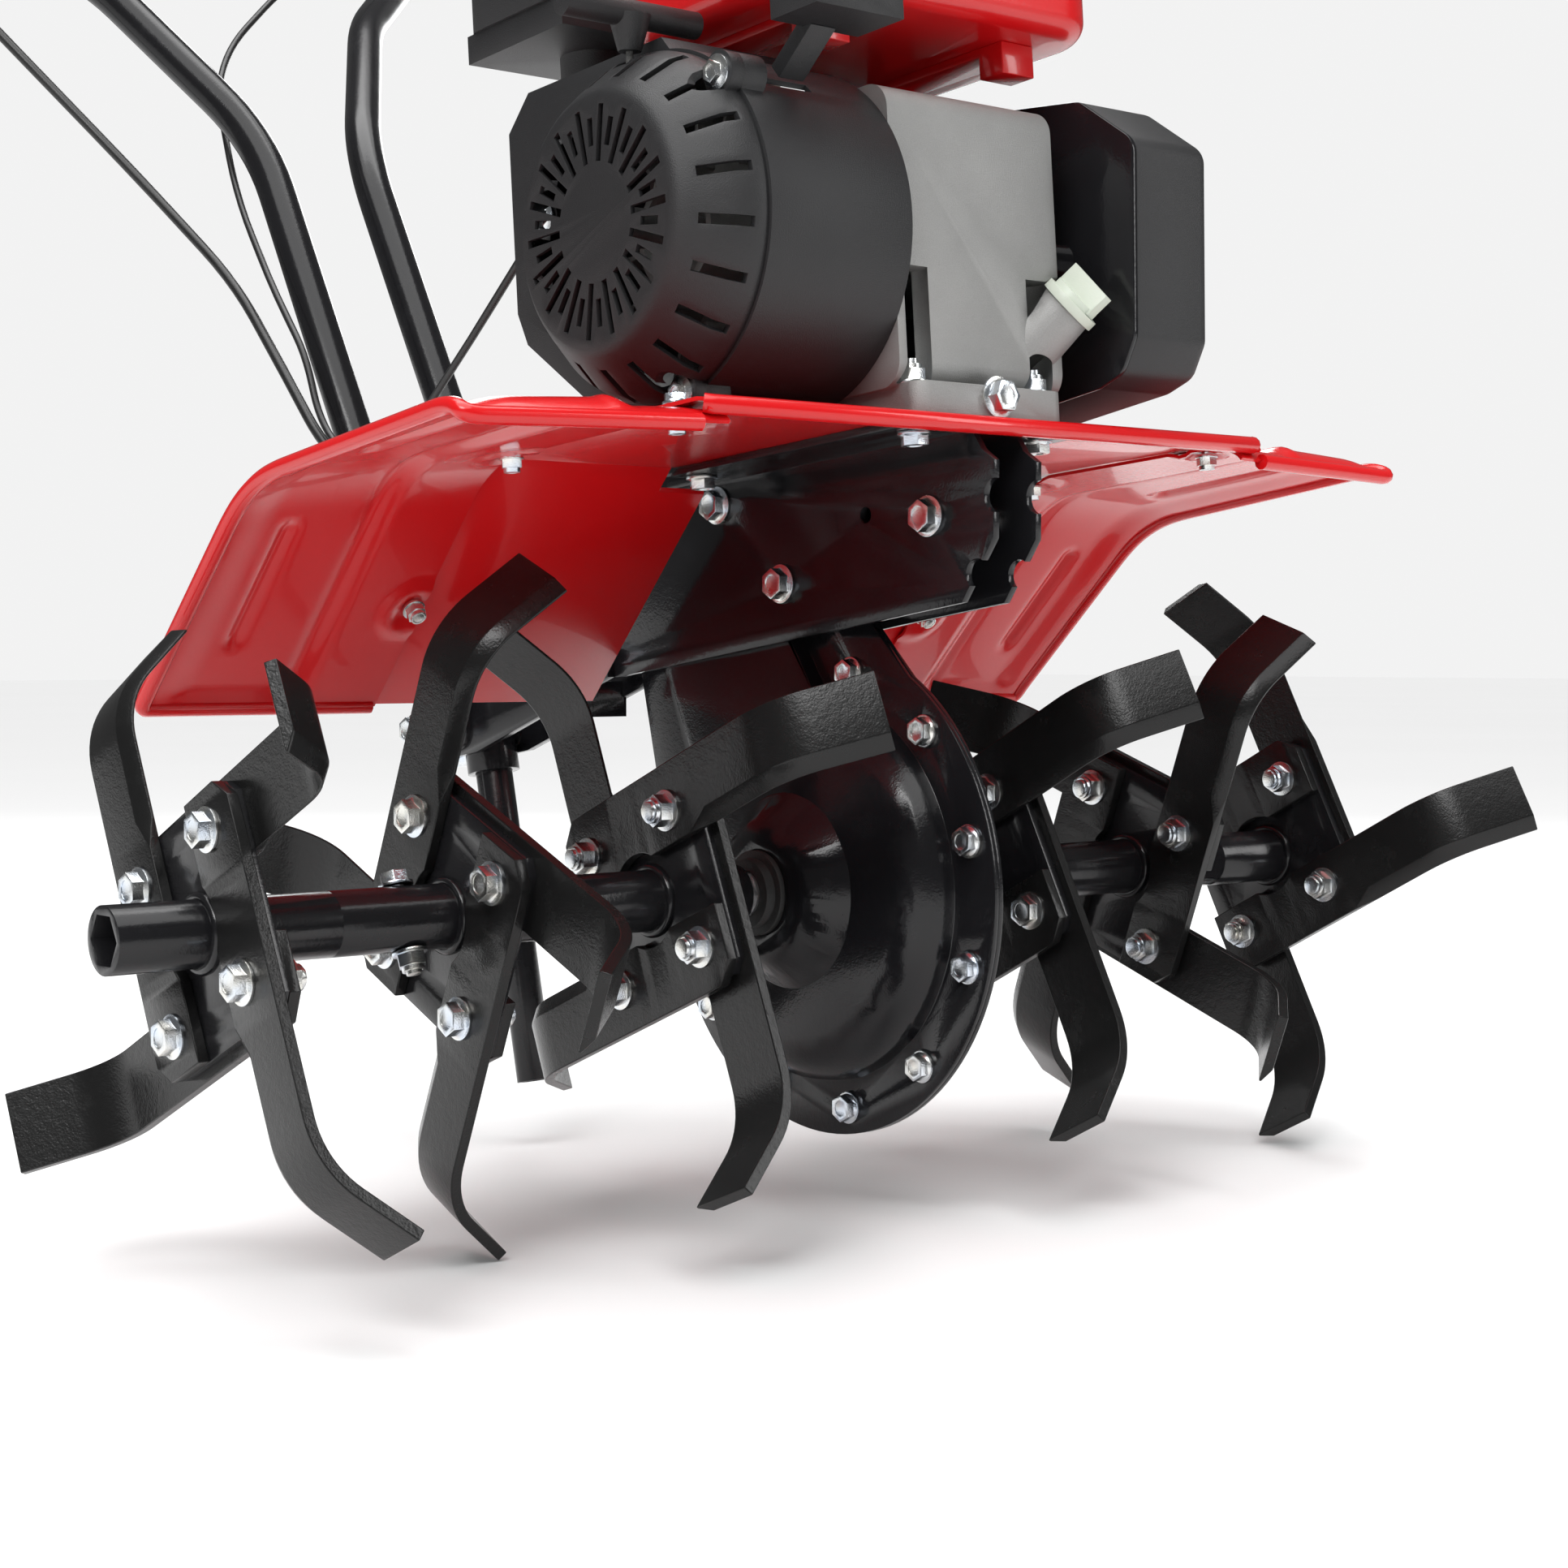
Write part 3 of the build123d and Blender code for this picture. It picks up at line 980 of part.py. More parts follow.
for shared, members in SHARED.items():
    together = []
    for member in members:
        shape = parts.pop(member)
        together += shape if isinstance(shape, list) else [shape]
    parts[shared] = together

# ------------------------------------------------- origin, and one file a node
solids = {}
for name, shape in parts.items():
    solids[name] = Compound(children=list(shape)) if isinstance(shape, list) else shape
boxes = [solid.bounding_box() for solid in solids.values()]
ground = min(box.min.Z for box in boxes)
middle_y = (min(box.min.Y for box in boxes) + max(box.max.Y for box in boxes)) / 2
to_origin = Pos(0, -middle_y, -ground)
print("moved by", round(-middle_y, 4), round(-ground, 4), "nodes", len(solids))

os.makedirs("parts", exist_ok=True)
for name, solid in solids.items():
    export_step(to_origin * solid, "parts/" + name + ".step")
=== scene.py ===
import json
import math
import bmesh
import bpy
from mathutils import Matrix, Vector


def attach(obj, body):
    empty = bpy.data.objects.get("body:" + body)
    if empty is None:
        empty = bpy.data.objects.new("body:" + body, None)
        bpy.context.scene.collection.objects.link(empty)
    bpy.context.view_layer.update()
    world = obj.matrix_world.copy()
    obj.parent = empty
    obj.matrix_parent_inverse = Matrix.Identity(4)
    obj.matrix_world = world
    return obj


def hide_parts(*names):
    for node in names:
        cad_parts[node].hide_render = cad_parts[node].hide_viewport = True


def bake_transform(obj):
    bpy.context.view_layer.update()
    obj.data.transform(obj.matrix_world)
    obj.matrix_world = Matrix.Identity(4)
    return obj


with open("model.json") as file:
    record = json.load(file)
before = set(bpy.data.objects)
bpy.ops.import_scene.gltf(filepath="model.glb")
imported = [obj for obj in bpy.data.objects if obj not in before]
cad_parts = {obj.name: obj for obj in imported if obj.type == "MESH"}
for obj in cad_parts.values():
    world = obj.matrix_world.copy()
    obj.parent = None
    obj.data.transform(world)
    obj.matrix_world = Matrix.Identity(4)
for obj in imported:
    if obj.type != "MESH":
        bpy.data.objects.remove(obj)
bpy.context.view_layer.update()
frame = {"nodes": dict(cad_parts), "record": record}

nodes = frame["nodes"]
bodies = frame["record"]["behaviour"]["bodies"]
AXIS_Y = -0.4049278
AXIS_Z = 0.1820042


# ------------------------------------------------------------------ hub tubes
# Four tubes with square plates welded on, black powder coat over rolled steel.
# The beads are run by hand round each plate, so their surface is rippled.
class Value:
    """A shader socket that takes Python sums."""

    def __init__(self, tree, socket):
        self.tree = tree
        self.socket = socket

    def sum_with(self, operation, a, b):
        node = self.tree.nodes.new("ShaderNodeMath")
        node.operation = operation
        for slot, value in zip(node.inputs, (a, b)):
            if isinstance(value, Value):
                self.tree.links.new(value.socket, slot)
            else:
                slot.default_value = value
        return Value(self.tree, node.outputs[0])

    def __add__(self, other):
        return self.sum_with("ADD", self, other)

    def __radd__(self, other):
        return self.sum_with("ADD", other, self)

    def __mul__(self, other):
        return self.sum_with("MULTIPLY", self, other)


class Finish:
    """A material that is being built round one Principled shader."""

    def __init__(self, name, **fixed):
        self.material = bpy.data.materials.new(name)
        self.material.use_nodes = True
        self.tree = self.material.node_tree
        self.shader = self.tree.nodes["Principled BSDF"]
        self.place = self.node("ShaderNodeTexCoord", out="Object")
        for key, value in fixed.items():
            self.shader.inputs[key.replace("_", " ")].default_value = value

    def node(self, kind, out=0, settings=(), **values):
        node = self.tree.nodes.new(kind)
        for key, value in dict(settings).items():
            setattr(node, key, value)
        for key, value in values.items():
            slot = node.inputs[int(key[1:]) if key[0] == "i" and key[1:].isdigit() else key]
            if isinstance(value, Value):
                self.tree.links.new(value.socket, slot)
            else:
                slot.default_value = value
        return Value(self.tree, node.outputs[out])

    def noise(self, scale, detail=3.0, rough=0.5):
        return self.node("ShaderNodeTexNoise", Vector=self.place, Scale=scale, Detail=detail,
                         Roughness=rough)

    def step(self, value, low, high):
        return self.node("ShaderNodeMapRange", settings={"clamp": True}, Value=value,
                         **{"From Min": low, "From Max": high})

    def mix(self, share, first, second):
        colours = [c if isinstance(c, Value) else (*c, 1.0) for c in (first, second)]
        return self.node("ShaderNodeMix", out=2, settings={"data_type": "RGBA"},
                         i0=share, i6=colours[0], i7=colours[1])

    def give(self, **links):
        for key, value in links.items():
            self.tree.links.new(value.socket, self.shader.inputs[key.replace("_", " ")])

    def bump(self, height, depth):
        bumped = self.node("ShaderNodeBump", Height=height, Distance=depth, Strength=1.0)
        self.give(Normal=bumped)


def black_coat(name, colour, rough, peel, gloss=0.1):
    coat = Finish(name, Coat_Weight=gloss, Coat_Roughness=0.05, Specular_IOR_Level=0.3)
    broad = coat.noise(9.0)
    fine = coat.noise(260.0, 2.0)
    dust = coat.step(coat.noise(55.0, 6.0, 0.62), 0.56, 0.74)
    brighter = tuple(c * 2.2 + 0.003 for c in colour)
    coat.give(Base_Color=coat.mix(dust * 0.25 + broad * 0.2, colour, brighter),
              Roughness=rough + broad * 0.07 + dust * 0.05)
    coat.bump(fine * 0.6 + coat.noise(900.0, 1.0) * 0.4, peel)
    return coat.material


tube_black = black_coat("tube_black_coat", (0.008, 0.008, 0.009), 0.16, 0.00012)


def body_of_node(node):
    return next(body for body, members in bodies.items() if node in members)


def edge_finished(node, radius, finish, smooth=35.0):
    """A copy of a node with its corners broken, standing in for the node."""
    bpy.ops.object.select_all(action="DESELECT")
    source = nodes[node]
    piece = bpy.data.objects.new(node + "_finished", source.data.copy())
    bpy.context.collection.objects.link(piece)
    piece.data.materials.clear()
    piece.data.materials.append(finish)
    bpy.context.view_layer.objects.active = piece
    piece.select_set(True)
    bpy.ops.object.mode_set(mode="EDIT")
    bpy.ops.mesh.select_all(action="SELECT")
    bpy.ops.mesh.remove_doubles(threshold=0.000004)
    bpy.ops.mesh.dissolve_limited(angle_limit=math.radians(0.6))
    bpy.ops.object.mode_set(mode="OBJECT")
    if piece.data.has_custom_normals:
        bpy.ops.mesh.customdata_custom_splitnormals_clear()
    if radius:
        edge = piece.modifiers.new("corners", "BEVEL")
        edge.width = radius
        edge.segments = 2
        edge.limit_method = "ANGLE"
        edge.angle_limit = math.radians(38)
        edge.use_clamp_overlap = True
        bpy.ops.object.modifier_apply(modifier="corners")
    bpy.ops.object.shade_smooth_by_angle(angle=math.radians(smooth))
    piece.select_set(False)
    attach(piece, body_of_node(node))
    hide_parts(node)
    return piece


for name in ("hub_inner_right", "hub_inner_left", "hub_outer_right", "hub_outer_left"):
    edge_finished(name, 0.0006, tube_black)

# ------------------------------------------------------ shafts inside the hubs
# Cold drawn steel, machined bright, with fine marks along its length.
bright = Finish("machined_steel", Metallic=1.0, Specular_IOR_Level=0.5)
marks = bright.noise(420.0, 4.0, 0.6)
bright.give(Base_Color=bright.mix(marks, (0.42, 0.42, 0.43), (0.6, 0.6, 0.6)),
            Roughness=0.28 + marks * 0.2)
bright.bump(marks, 0.00008)
for name in ("extension_shafts", "rotor_shaft", "counter_sprockets", "input_shaft", "drive_chains",
             "crankshaft", "drive_pulley", "driven_pulley", "idler_arm"):
    edge_finished(name, 0.0, bright.material)

# ------------------------------------------------------------------------ tines
# Four blades on each plate, cut and bent from spring steel bar, ground along
# the digging edge and dipped in black paint.
tine_black = black_coat("tine_black_paint", (0.007, 0.007, 0.007), 0.22, 0.0002, 0.0)
PLATE_X = (-383.9, -248.3, -119.65, 119.65, 248.3, 383.9)
PLATE_TURN = (-19.6, 21.9, -22.4, -17.5, 25.4, -17.2)
BOLT_REACH = 53.033
NEAR = [[(0, 3), (2, 1)]] + 3 * [[(1, 0), (3, 2)]] + 2 * [[(2, 3), (0, 1)]]
FAR = [[(1, 0), (3, 2)]] + 3 * [[(0, 3), (2, 1)]] + 2 * [[(3, 0), (1, 2)]]


def blade(grind_low):
    """Blade along +X, inner face on y = 0, bent to -Y, in millimetres."""
    stations = []
    for x in (-19, -13, -8, 5, 14, 21.7, 24, 28, 32, 37.5, 43, 47, 51, 53.3, 62, 75, 90, 98, 106,
              120, 134, 147):
        stations.append(((x, 6.0), (x, 0.0)))
    for count in range(1, 11):
        turn = math.radians(48 * count / 10)
        at = [(147 + r * math.sin(turn), -47 + r * math.cos(turn)) for r in (53, 47)]
        stations.append((at[0], at[1]))
    last = stations[-1]
    turn = math.radians(48)
    for reach in (17, 31.5, 34):
        stations.append(tuple((p[0] + math.cos(turn) * reach, p[1] - math.sin(turn) * reach)
                              for p in last))
    shape = bmesh.new()
    rows = []
    for index, (outer, inner) in enumerate(stations):
        x = outer[0] if index < 22 else 200.0
        low, high = -17.6, 24.0
        if abs(x - 37.5) < 15.9:
            low = max(low, -37.5 + math.sqrt(25.4 ** 2 - (x - 37.5) ** 2))
        if x < -7.7:
            high = 24.0 - (-7.7 - x)
        share = min(1.0, max(0.0, (x - 90.0) / 16.0))
        ground = 8.5 * share
        left = 6.0 - 4.7 * share
        cross = []
        for side, z in ((0, low), (1, low + ground if grind_low else low + 0.01),
                        (2, high - ground if not grind_low else high - 0.01), (3, high)):
            thin = (side == 0 and grind_low) or (side == 3 and not grind_low)
            keep = left / 6.0 if thin else 1.0
            cross.append(shape.verts.new((inner[0] + (outer[0] - inner[0]) * keep,
                                          inner[1] + (outer[1] - inner[1]) * keep, z)))
        for z in (high, low):
            cross.append(shape.verts.new((inner[0], inner[1], z)))
        rows.append(cross)
    for a, b in zip(rows, rows[1:]):
        for k in range(6):
            shape.faces.new((a[k], b[k], b[(k + 1) % 6], a[(k + 1) % 6]))
    shape.faces.new(rows[0])
    shape.faces.new(rows[-1][::-1])
    bmesh.ops.remove_doubles(shape, verts=shape.verts, dist=0.02)
    bmesh.ops.recalc_face_normals(shape, faces=shape.faces)
    return shape


def plate_point(number, k):
    """Middle of bolt k of a plate, from the tine axis, in millimetres."""
    turn = math.radians(PLATE_TURN[number] + 90 * k)
    return Vector((PLATE_X[number], BOLT_REACH * math.sin(turn), BOLT_REACH * math.cos(turn)))


for number in range(6):
    joined = bmesh.new()
    for face, pairs in ((-1, NEAR[number]), (1, FAR[number])):
        for first, last in pairs:
            start, end = plate_point(number, first), plate_point(number, last)
            along = (end - start).normalized()
            outward = Vector((0, start.y + end.y, start.z + end.z)).normalized()
            across = outward.cross(along)
            flip = 1 if across.x * face > 0 else -1
            origin = start + Vector((face * 2.5, 0, 0))
            turned = Matrix((along, across * flip, outward)).transposed().to_4x4()
            turned.translation = origin
            one = blade(number < 4)
            if flip < 0:
                bmesh.ops.reverse_faces(one, faces=one.faces)
            one.transform(Matrix.Translation((0, AXIS_Y, AXIS_Z)) @ Matrix.Scale(0.001, 4) @ turned)
            spare = bpy.data.meshes.new("spare")
            one.to_mesh(spare)
            joined.from_mesh(spare)
            bpy.data.meshes.remove(spare)
    mesh = bpy.data.meshes.new("tines")
    joined.to_mesh(mesh)
    piece = bpy.data.objects.new("tine_blades_" + str(number + 1), mesh)
    bpy.context.collection.objects.link(piece)
    mesh.materials.append(tine_black)
    bpy.ops.object.select_all(action="DESELECT")
    piece.select_set(True)
    bpy.context.view_layer.objects.active = piece
    edge = piece.modifiers.new("corners", "BEVEL")
    edge.width = 0.0006
    edge.segments = 2
    edge.limit_method = "ANGLE"
    edge.angle_limit = math.radians(25)
    bpy.ops.object.modifier_apply(modifier="corners")
    bpy.ops.object.shade_smooth_by_angle(angle=math.radians(22))
    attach(piece, "rotor")
    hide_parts("tines_" + str(number + 1))

# -------------------------------------------------------------- plated fasteners
# Flanged bolts and lock nuts, cold headed and bright zinc plated, with the
# faint blue and yellow bloom of a passivated surface.
zinc = Finish("bright_zinc", Metallic=1.0)
bloom = zinc.noise(70.0, 2.0)
frost = zinc.noise(1400.0, 2.0)
tint = zinc.mix(zinc.step(bloom, 0.35, 0.65), (0.62, 0.68, 0.76), (0.78, 0.77, 0.72))
zinc.give(Base_Color=zinc.mix(zinc.step(frost, 0.55, 0.8) * 0.4, tint, (0.4, 0.42, 0.45)),
          Roughness=0.16 + bloom * 0.16)
zinc.bump(frost * 0.7 + bloom * 0.3, 0.00012)
for name in ("rotor_fasteners", "case_bolts", "frame_bolts", "fender_bolts", "engine_bolts",
             "depth_clamp_screw", "choke_lever"):
    edge_finished(name, 0.00045, zinc.material, smooth=30.0)

# ------------------------------------------------- gear case and frame plates
# Pressed and folded steel, black powder coat with a light orange peel.
case_black = black_coat("case_black_coat", (0.007, 0.007, 0.008), 0.14, 0.00016)
for name, radius in (("gear_case_right", 0.0012), ("gear_case_left", 0.0012),
                     ("frame_plate_right", 0.0007), ("frame_plate_left", 0.0007),
                     ("hitch_bracket", 0.0008), ("belt_back_plate", 0.0005)):
    edge_finished(name, radius, case_black, smooth=40.0)

# ----------------------------------------------------------------- shaft seals
# Moulded rubber lips pressed into the case hubs round the tine shaft.
rubber = Finish("black_rubber", Specular_IOR_Level=0.35)
grain = rubber.noise(600.0, 3.0)
rubber.give(Base_Color=rubber.mix(grain, (0.012, 0.012, 0.012), (0.03, 0.03, 0.03)),
            Roughness=0.48 + grain * 0.2)
rubber.bump(grain, 0.0002)
for name in ("bearings_and_seals", "grips", "drive_belt"):
    edge_finished(name, 0.0004, rubber.material)

# --------------------------------------------------------------------- fenders
# A folded centre panel and two pressed wings of 2 mm sheet with rolled edges,
# finished in glossy red powder coat and bolted together.
red = Finish("red_powder_coat", Coat_Weight=0.35, Coat_Roughness=0.035, Specular_IOR_Level=0.35)
cloud = red.noise(5.0)
peel = red.noise(330.0, 2.0)
red.give(Base_Color=red.mix(cloud * 0.5, (0.60, 0.006, 0.008), (0.52, 0.004, 0.006)),
         Roughness=0.22 + peel * 0.06)
red.bump(peel * 0.75 + red.noise(1200.0, 1.0) * 0.25, 0.00009)
for name in ("fender_centre", "fuel_tank"):
    edge_finished(name, 0.0006, red.material, smooth=45.0)

# ----------------------------------------------------------------- fender wings
# Each wing is one pressing with a joggled inner strip, a stiffening bead on the
# flat and on the slope, sunk bolt seats and an edge rolled round a wire.
WING_INNER = ((-143.29, 244.11), (-139.87, 249.54), (-135.15, 249.81), (59.13, 234.65),
              (179.49, 102.65))
WING_OUTER = ((-134.29, 236.89), (-130.87, 242.32), (-126.15, 242.59), (59.13, 217.37),
              (179.49, 102.65))
WING_SEATS = (-110.0, 30.0, 130.0)
FRONT_DROOP = 3.5
DROOP_FROM = -118
DROOP_RUN = 25


def eased(value):
    value = min(1.0, max(0.0, value))
    return value * value * (3 - 2 * value)


def wing_line(share):
    """Points of the sheet from front to rear, with its bends rounded."""
    corners = [Vector(i).lerp(Vector(o), share) for i, o in zip(WING_INNER, WING_OUTER)]
    flat = (corners[3] - corners[2]).normalized()
    slope = (corners[4] - corners[3]).normalized()
    after_lip = corners[2] + flat * 9
    before_bend, after_bend = corners[3] - flat * 30, corners[3] + slope * 30
    line = []
    for count in range(7):
        t = count / 7
        line.append((1 - t) ** 2 * corners[0] + 2 * t * (1 - t) * corners[1] + t * t * after_lip)
    for count in range(36):
        line.append(after_lip.lerp(before_bend, count / 36))
    for count in range(12):
        t = count / 12
        line.append((1 - t) ** 2 * before_bend + 2 * t * (1 - t) * corners[3]
                    + t * t * after_bend)
    for count in range(37):
        line.append(after_bend.lerp(corners[4], count / 36))
    return line


def wing_press(x, y, slope_share):
    """How far the press lifts the sheet off its plain fold, in millimetres."""
    lift = 4.2 * eased((x - 229) / 12) - 3.6 * eased((x - 298) / 26)
    lift += 1.3 * math.exp(-((x - 243) / 4.0) ** 2)
    window = eased((y + 96) / 10) * (1 - eased((y - 8) / 10))
    window += eased((slope_share - 0.2) / 0.05) * (1 - eased((slope_share - 0.72) / 0.05))
    lift += 3.6 * math.exp(-((x - 288) / 5.0) ** 2) * window
    for seat in WING_SEATS:
        stretch = 1.0 if seat < 59 else 1.48
        reach = math.hypot(x - 191, (y - seat) * stretch)
        lift -= 2.2 * eased((reach - 9) / 4) * (1 - eased((reach - 16) / 6))
    return lift


def fender_wing(side, node):
    sheet = bmesh.new()
    columns = []
    for count in range(59):
        x = 184 + 143 * count / 58
        line = wing_line(count / 58)
        column = []
        for index, point in enumerate(line):
            run = line[min(index + 1, len(line) - 1)] - line[max(index - 1, 0)]
            up = Vector((-run.y, run.x)).normalized()
            lift = wing_press(x, point.x, max(0.0, (point.x - 59) / 120))
            lift *= eased(index / 8) * eased((len(line) - 1 - index) / 3)
            at = point + up * lift
            at.y -= FRONT_DROOP * (1 - count / 58) * eased((DROOP_FROM - at.x) / DROOP_RUN)
            column.append(sheet.verts.new((side * x / 1000, at.x / 1000 + AXIS_Y,
                                           at.y / 1000 + AXIS_Z)))
        columns.append(column)
    for first, second in zip(columns, columns[1:]):
        for k in range(len(first) - 1):
            corners = (first[k], second[k], second[k + 1], first[k + 1])
            sheet.faces.new(corners if side > 0 else corners[::-1])
    rim = [columns[7][0], *[c[0] for c in columns[8::4]], *columns[-1][1:-1:3],
           *[c[-1] for c in columns[::-3]]]
    rim = [tuple(v.co) for v in rim]
    mesh = bpy.data.meshes.new(node)
    sheet.to_mesh(mesh)
    piece = bpy.data.objects.new(node + "_pressing", mesh)
    bpy.context.collection.objects.link(piece)
    mesh.materials.append(red.material)
    bpy.ops.object.select_all(action="DESELECT")
    piece.select_set(True)
    bpy.context.view_layer.objects.active = piece
    wall = piece.modifiers.new("gauge", "SOLIDIFY")
    wall.thickness = 0.002
    wall.offset = -1.0
    bpy.ops.object.modifier_apply(modifier="gauge")
    bpy.ops.object.shade_smooth_by_angle(angle=math.radians(50))
    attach(piece, "frame")
    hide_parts(node)
    wire = bpy.data.curves.new("rolled_edge", "CURVE")
    wire.dimensions = "3D"
    run = wire.splines.new("NURBS")
    run.points.add(len(rim) - 1)
    for point, place in zip(run.points, rim):
        point.co = (place[0], place[1], place[2] - 0.001, 1)
    run.use_endpoint_u = True
    run.order_u = 3
    wire.bevel_depth = 0.0045
    wire.bevel_resolution = 3
    wire.use_fill_caps = True
    roll(wire, node + "_rolled_edge")


def roll(curve, name):
    """Turns a round wire into a mesh piece on the frame, in fender red."""
    line = bpy.data.objects.new(name, curve)
    bpy.context.collection.objects.link(line)
    bpy.ops.object.select_all(action="DESELECT")
    line.select_set(True)
    bpy.context.view_layer.objects.active = line
    bpy.ops.object.convert(target="MESH")
    line.data.materials.clear()
    line.data.materials.append(red.material)
    bpy.ops.object.shade_smooth_by_angle(angle=math.radians(50))
    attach(line, "frame")


fender_wing(-1, "fender_wing_right")
fender_wing(1, "fender_wing_left")

# The centre panel's front edge is rolled the same way.
front = bpy.data.curves.new("front_roll", "CURVE")
front.dimensions = "3D"
across = front.splines.new("POLY")
across.points.add(3)
FRONT_ROLL = ((-197, -139, 248.6), (-193, -142, 248), (193, -142, 248), (197, -139, 248.6))
for point, (x, y, z) in zip(across.points, FRONT_ROLL):
    point.co = (x / 1000, y / 1000 + AXIS_Y, z / 1000 + AXIS_Z, 1)
front.bevel_depth = 0.0048
front.bevel_resolution = 4
front.use_fill_caps = True
roll(front, "centre_rolled_edge")

# --------------------------------------------------------- crankcase and block
# Pressure die cast aluminium, blasted to a fine grey grain.
cast = Finish("blasted_aluminium", Metallic=0.75)
sand = cast.noise(1500.0, 4.0, 0.7)
flow = cast.noise(24.0, 4.0)
cast.give(Base_Color=cast.mix(sand * 0.6 + flow * 0.4, (0.2, 0.2, 0.197), (0.42, 0.42, 0.41)),
          Roughness=0.42 + sand * 0.22)
cast.bump(sand * 0.8 + flow * 0.2, 0.0004)
for name in ("crankcase", "cylinder_block", "cylinder_head", "carburettor", "flywheel_fan"):
    edge_finished(name, 0.0012, cast.material, smooth=40.0)

# --------------------------------------------------- shroud, covers and levers
# Glass-filled nylon and steel under a fine matt black texture.
moulded = Finish("moulded_black", Specular_IOR_Level=0.4)
leather = moulded.noise(1700.0, 2.0)
worn = moulded.noise(14.0, 4.0)
moulded.give(Base_Color=moulded.mix(worn, (0.011, 0.011, 0.012), (0.02, 0.02, 0.021)),
             Roughness=0.38 + leather * 0.16)
moulded.bump(leather, 0.00022)
for name, radius in (("fan_shroud", 0.0015), ("recoil_cover", 0.0008), ("belt_cover", 0.0008),
                     ("air_cleaner", 0.0012), ("recoil_grip", 0.002), ("control_brackets", 0.001),
                     ("clutch_lever", 0.001), ("throttle_lever", 0.001)):
    edge_finished(name, radius, moulded.material, smooth=40.0)

# ------------------------------------------------------------------ filler caps
# The oil cap is pale nylon with a moulded finger bar.
pale = Finish("pale_nylon", Specular_IOR_Level=0.45)
mottle = pale.noise(40.0, 3.0)
pale.give(Base_Color=pale.mix(mottle, (0.48, 0.53, 0.45), (0.56, 0.60, 0.52)),
          Roughness=0.32 + mottle * 0.12)
pale.bump(pale.noise(900.0, 2.0), 0.00012)
edge_finished("filler_caps", 0.0012, pale.material)

# ---------------------------------------------------------------------- muffler
# Aluminised steel can behind a slotted guard, browned by heat.
hot = Finish("heat_stained_steel", Metallic=0.9)
stain = hot.noise(18.0, 5.0)
hot.give(Base_Color=hot.mix(hot.step(stain, 0.35, 0.7), (0.42, 0.4, 0.37), (0.26, 0.19, 0.13)),
         Roughness=0.4 + stain * 0.2)
hot.bump(hot.noise(500.0, 3.0), 0.0002)
edge_finished("muffler", 0.001, hot.material)

# ------------------------------------------------------------ handles and bars
# Bent steel tube, semi-gloss black powder coat.
for name, radius in (("handle_right", 0.0004), ("handle_left", 0.0004), ("depth_bar", 0.0006)):
    edge_finished(name, radius, tube_black, smooth=40.0)

# ---------------------------------------------------------------- engine switch
red_plastic = Finish("red_rocker", Specular_IOR_Level=0.5)
speck = red_plastic.noise(700.0)
red_plastic.give(Base_Color=red_plastic.mix(speck, (0.45, 0.015, 0.01), (0.5, 0.02, 0.012)),
                 Roughness=0.3 + speck * 0.1)
red_plastic.bump(speck, 0.0001)
edge_finished("engine_switch", 0.001, red_plastic.material)

# --------------------------------------------------------------- control cables
# Steel wire in a smooth black sleeve.
sleeve = Finish("cable_sleeve", Specular_IOR_Level=0.5)
scuff = sleeve.noise(90.0, 4.0)
sleeve.give(Base_Color=sleeve.mix(scuff, (0.008, 0.008, 0.008), (0.016, 0.016, 0.016)),
            Roughness=0.3 + scuff * 0.15)
sleeve.bump(sleeve.noise(800.0), 0.00006)
for name in ("clutch_cable", "throttle_cable"):
    edge_finished(name, 0.0, sleeve.material, smooth=60.0)

# ------------------------------------------------------------ engine supports
# Small fixings that carry the stop switch, tank cap and muffler.  They are not
# in the CAD, which leaves gaps of 1.5 to 23 mm there; each rides on the frame.
def support(name, shape, place, size, turn, finish):
    """A bevelled block or rod; place in the row frame and size, in millimetres."""
    bpy.ops.object.select_all(action="DESELECT")
    spot = [value / 1000 for value in place]
    if shape == "block":
        bpy.ops.mesh.primitive_cube_add(size=1, location=spot)
    else:
        bpy.ops.mesh.primitive_cylinder_add(vertices=40, radius=0.5, depth=1, location=spot)
    piece = bpy.context.object
    piece.name = name
    piece.scale = [value / 1000 for value in size]
    piece.rotation_euler = [math.radians(value) for value in turn]
    bpy.ops.object.transform_apply(location=True, rotation=True, scale=True)
    edge = piece.modifiers.new("corners", "BEVEL")
    edge.width = 0.0006
    edge.segments = 2
    edge.limit_method = "ANGLE"
    bpy.ops.object.modifier_apply(modifier="corners")
    bpy.ops.object.shade_smooth_by_angle(angle=math.radians(35))
    piece.data.materials.clear()
    piece.data.materials.append(finish)
    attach(piece, "frame")


support("switch_arm", "block", (-118, -523.5, 610.2), (16, 33, 9), (-41.3, 0, 0), moulded.material)
support("tank_neck", "rod", (-20, -430.5, 740.0), (58, 58, 9), (-4.5, 0, 0), red.material)
support("exhaust_flange", "rod", (34, -290.0, 642.0), (22, 22, 16), (0, 0, 0), hot.material)
for number, (x, y) in enumerate(((11.5, -325), (11.5, -268), (110.5, -325), (110.5, -268))):
    support("guard_stud_" + str(number + 1), "rod", (x, y, 698), (6, 6, 8), (0, 90, 0),
            zinc.material)

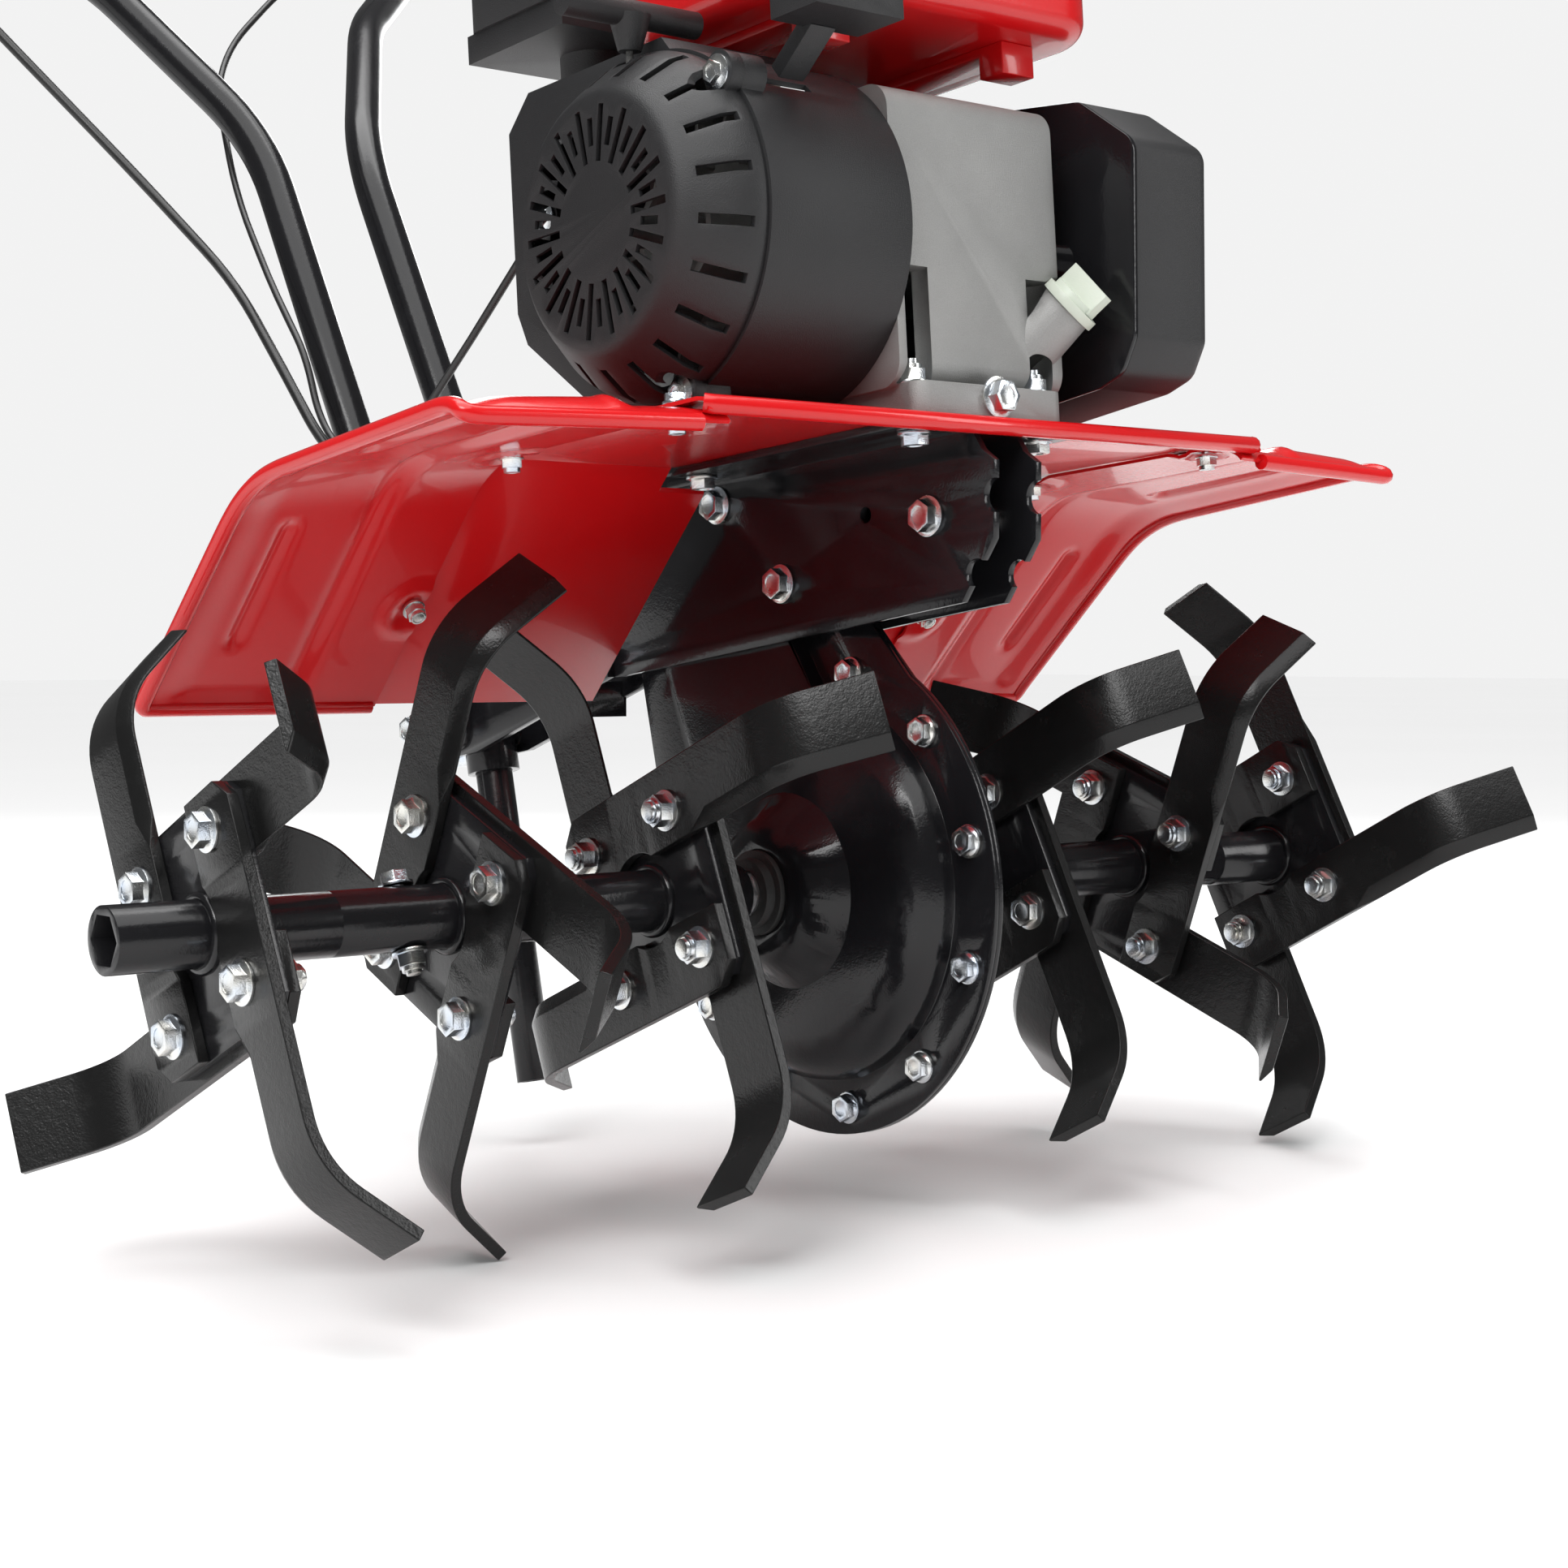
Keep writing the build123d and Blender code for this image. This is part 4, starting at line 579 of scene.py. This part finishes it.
# ------------------------------------------------------------------ recoil rope
# Braided nylon cord from the eyelet in the shroud up into the grip; the braid
# shows as a fine twill.
cord = Finish("braided_cord", Specular_IOR_Level=0.3)
braid = cord.noise(1300.0, 2.0)
cord.give(Base_Color=cord.mix(braid, (0.02, 0.02, 0.02), (0.16, 0.16, 0.155)),
          Roughness=0.7 + braid * 0.2)
cord.bump(braid, 0.0003)
ROPE_AT = (-0.163, -0.0365 + AXIS_Y)
ROPE_FOOT = 0.4187 + AXIS_Z
ROPE_HEAD = 0.4400 + AXIS_Z
ROPE_RADIUS = 0.0019
ROPE_RINGS = 40
rings = bmesh.new()
loops = []
for count in range(ROPE_RINGS + 1):
    height = ROPE_FOOT + (ROPE_HEAD - ROPE_FOOT) * count / ROPE_RINGS
    loops.append([rings.verts.new((ROPE_AT[0] + ROPE_RADIUS * math.cos(turn * math.pi / 6),
                                   ROPE_AT[1] + ROPE_RADIUS * math.sin(turn * math.pi / 6), height))
                  for turn in range(12)])
for low, high in zip(loops, loops[1:]):
    for k in range(12):
        rings.faces.new((low[k], low[(k + 1) % 12], high[(k + 1) % 12], high[k]))
rings.faces.new(loops[0][::-1])
rings.faces.new(loops[-1])
rope_mesh = bpy.data.meshes.new("recoil_rope")
rings.to_mesh(rope_mesh)
rope_mesh.materials.append(cord.material)
rope = bpy.data.objects.new("recoil_rope", rope_mesh)
bpy.context.collection.objects.link(rope)
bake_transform(rope)

# ------------------------------------------------------- floor, light and camera
# A plain pale floor, four soft boxes under an even sky, and a long lens at
# machine height.
bpy.ops.object.select_all(action="DESELECT")
bpy.ops.mesh.primitive_plane_add(size=60, location=(0, 0, -0.0005))
floor = bpy.context.object
floor.name = "studio_floor"
ground = Finish("studio_white", Specular_IOR_Level=0.1)
tone = ground.noise(0.6)
ground.give(Base_Color=ground.mix(tone, (0.84, 0.84, 0.84), (0.87, 0.87, 0.87)))
ground.shader.inputs["Roughness"].default_value = 0.9
floor.data.materials.append(ground.material)


def soft_box(name, place, target, width, height, power):
    data = bpy.data.lights.new(name, "AREA")
    data.shape = "RECTANGLE"
    data.size = width
    data.size_y = height
    data.energy = power
    lamp = bpy.data.objects.new(name, data)
    lamp.location = place
    lamp.rotation_euler = (Vector(target) - Vector(place)).to_track_quat("-Z", "Y").to_euler()
    bpy.context.collection.objects.link(lamp)


soft_box("key_box", (-2.4, -1.6, 2.2), (0, -0.3, 0.3), 1.5, 0.9, 44)
soft_box("fill_box", (1.6, -2.6, 1.5), (0, -0.4, 0.25), 0.6, 1.8, 22)
soft_box("top_box", (0.2, 0.2, 3.0), (0, -0.2, 0.2), 2.6, 1.4, 34)
soft_box("rear_box", (1.9, 2.0, 1.7), (0, 0, 0.4), 1.2, 1.4, 26)
sky = bpy.data.lights.new("even_sky", "SUN")
sky.angle = math.radians(70)
sky.energy = 3.0
high = bpy.data.objects.new("even_sky", sky)
high.rotation_euler = (math.radians(12), math.radians(-14), 0)
bpy.context.collection.objects.link(high)
world = bpy.data.worlds.new("studio_air")
bpy.context.scene.world = world
world.use_nodes = True
air = world.node_tree
seen = air.nodes.new("ShaderNodeLightPath")
level = air.nodes.new("ShaderNodeMapRange")
level.inputs["To Min"].default_value = 0.13
level.inputs["To Max"].default_value = 0.89
air.links.new(seen.outputs["Is Camera Ray"], level.inputs["Value"])
air.links.new(level.outputs[0], air.nodes["Background"].inputs["Strength"])
air.nodes["Background"].inputs["Color"].default_value = (1, 1, 1, 1)

lens = bpy.data.cameras.new("long_lens")
lens.lens = 61.45
lens.sensor_width = 36.0
lens.clip_start = 0.01
camera = bpy.data.objects.new("long_lens", lens)
camera.location = (-0.9802, -1.1313 + AXIS_Y, 0.1302 + AXIS_Z)
pitch = math.radians(-2.755)
heading = math.radians(40.0)
look = Vector((math.sin(heading) * math.cos(pitch), math.cos(heading) * math.cos(pitch),
               math.sin(pitch)))
camera.rotation_euler = look.to_track_quat("-Z", "Y").to_euler()
bpy.context.collection.objects.link(camera)
bpy.context.scene.camera = camera
bpy.context.scene.view_settings.view_transform = "Standard"
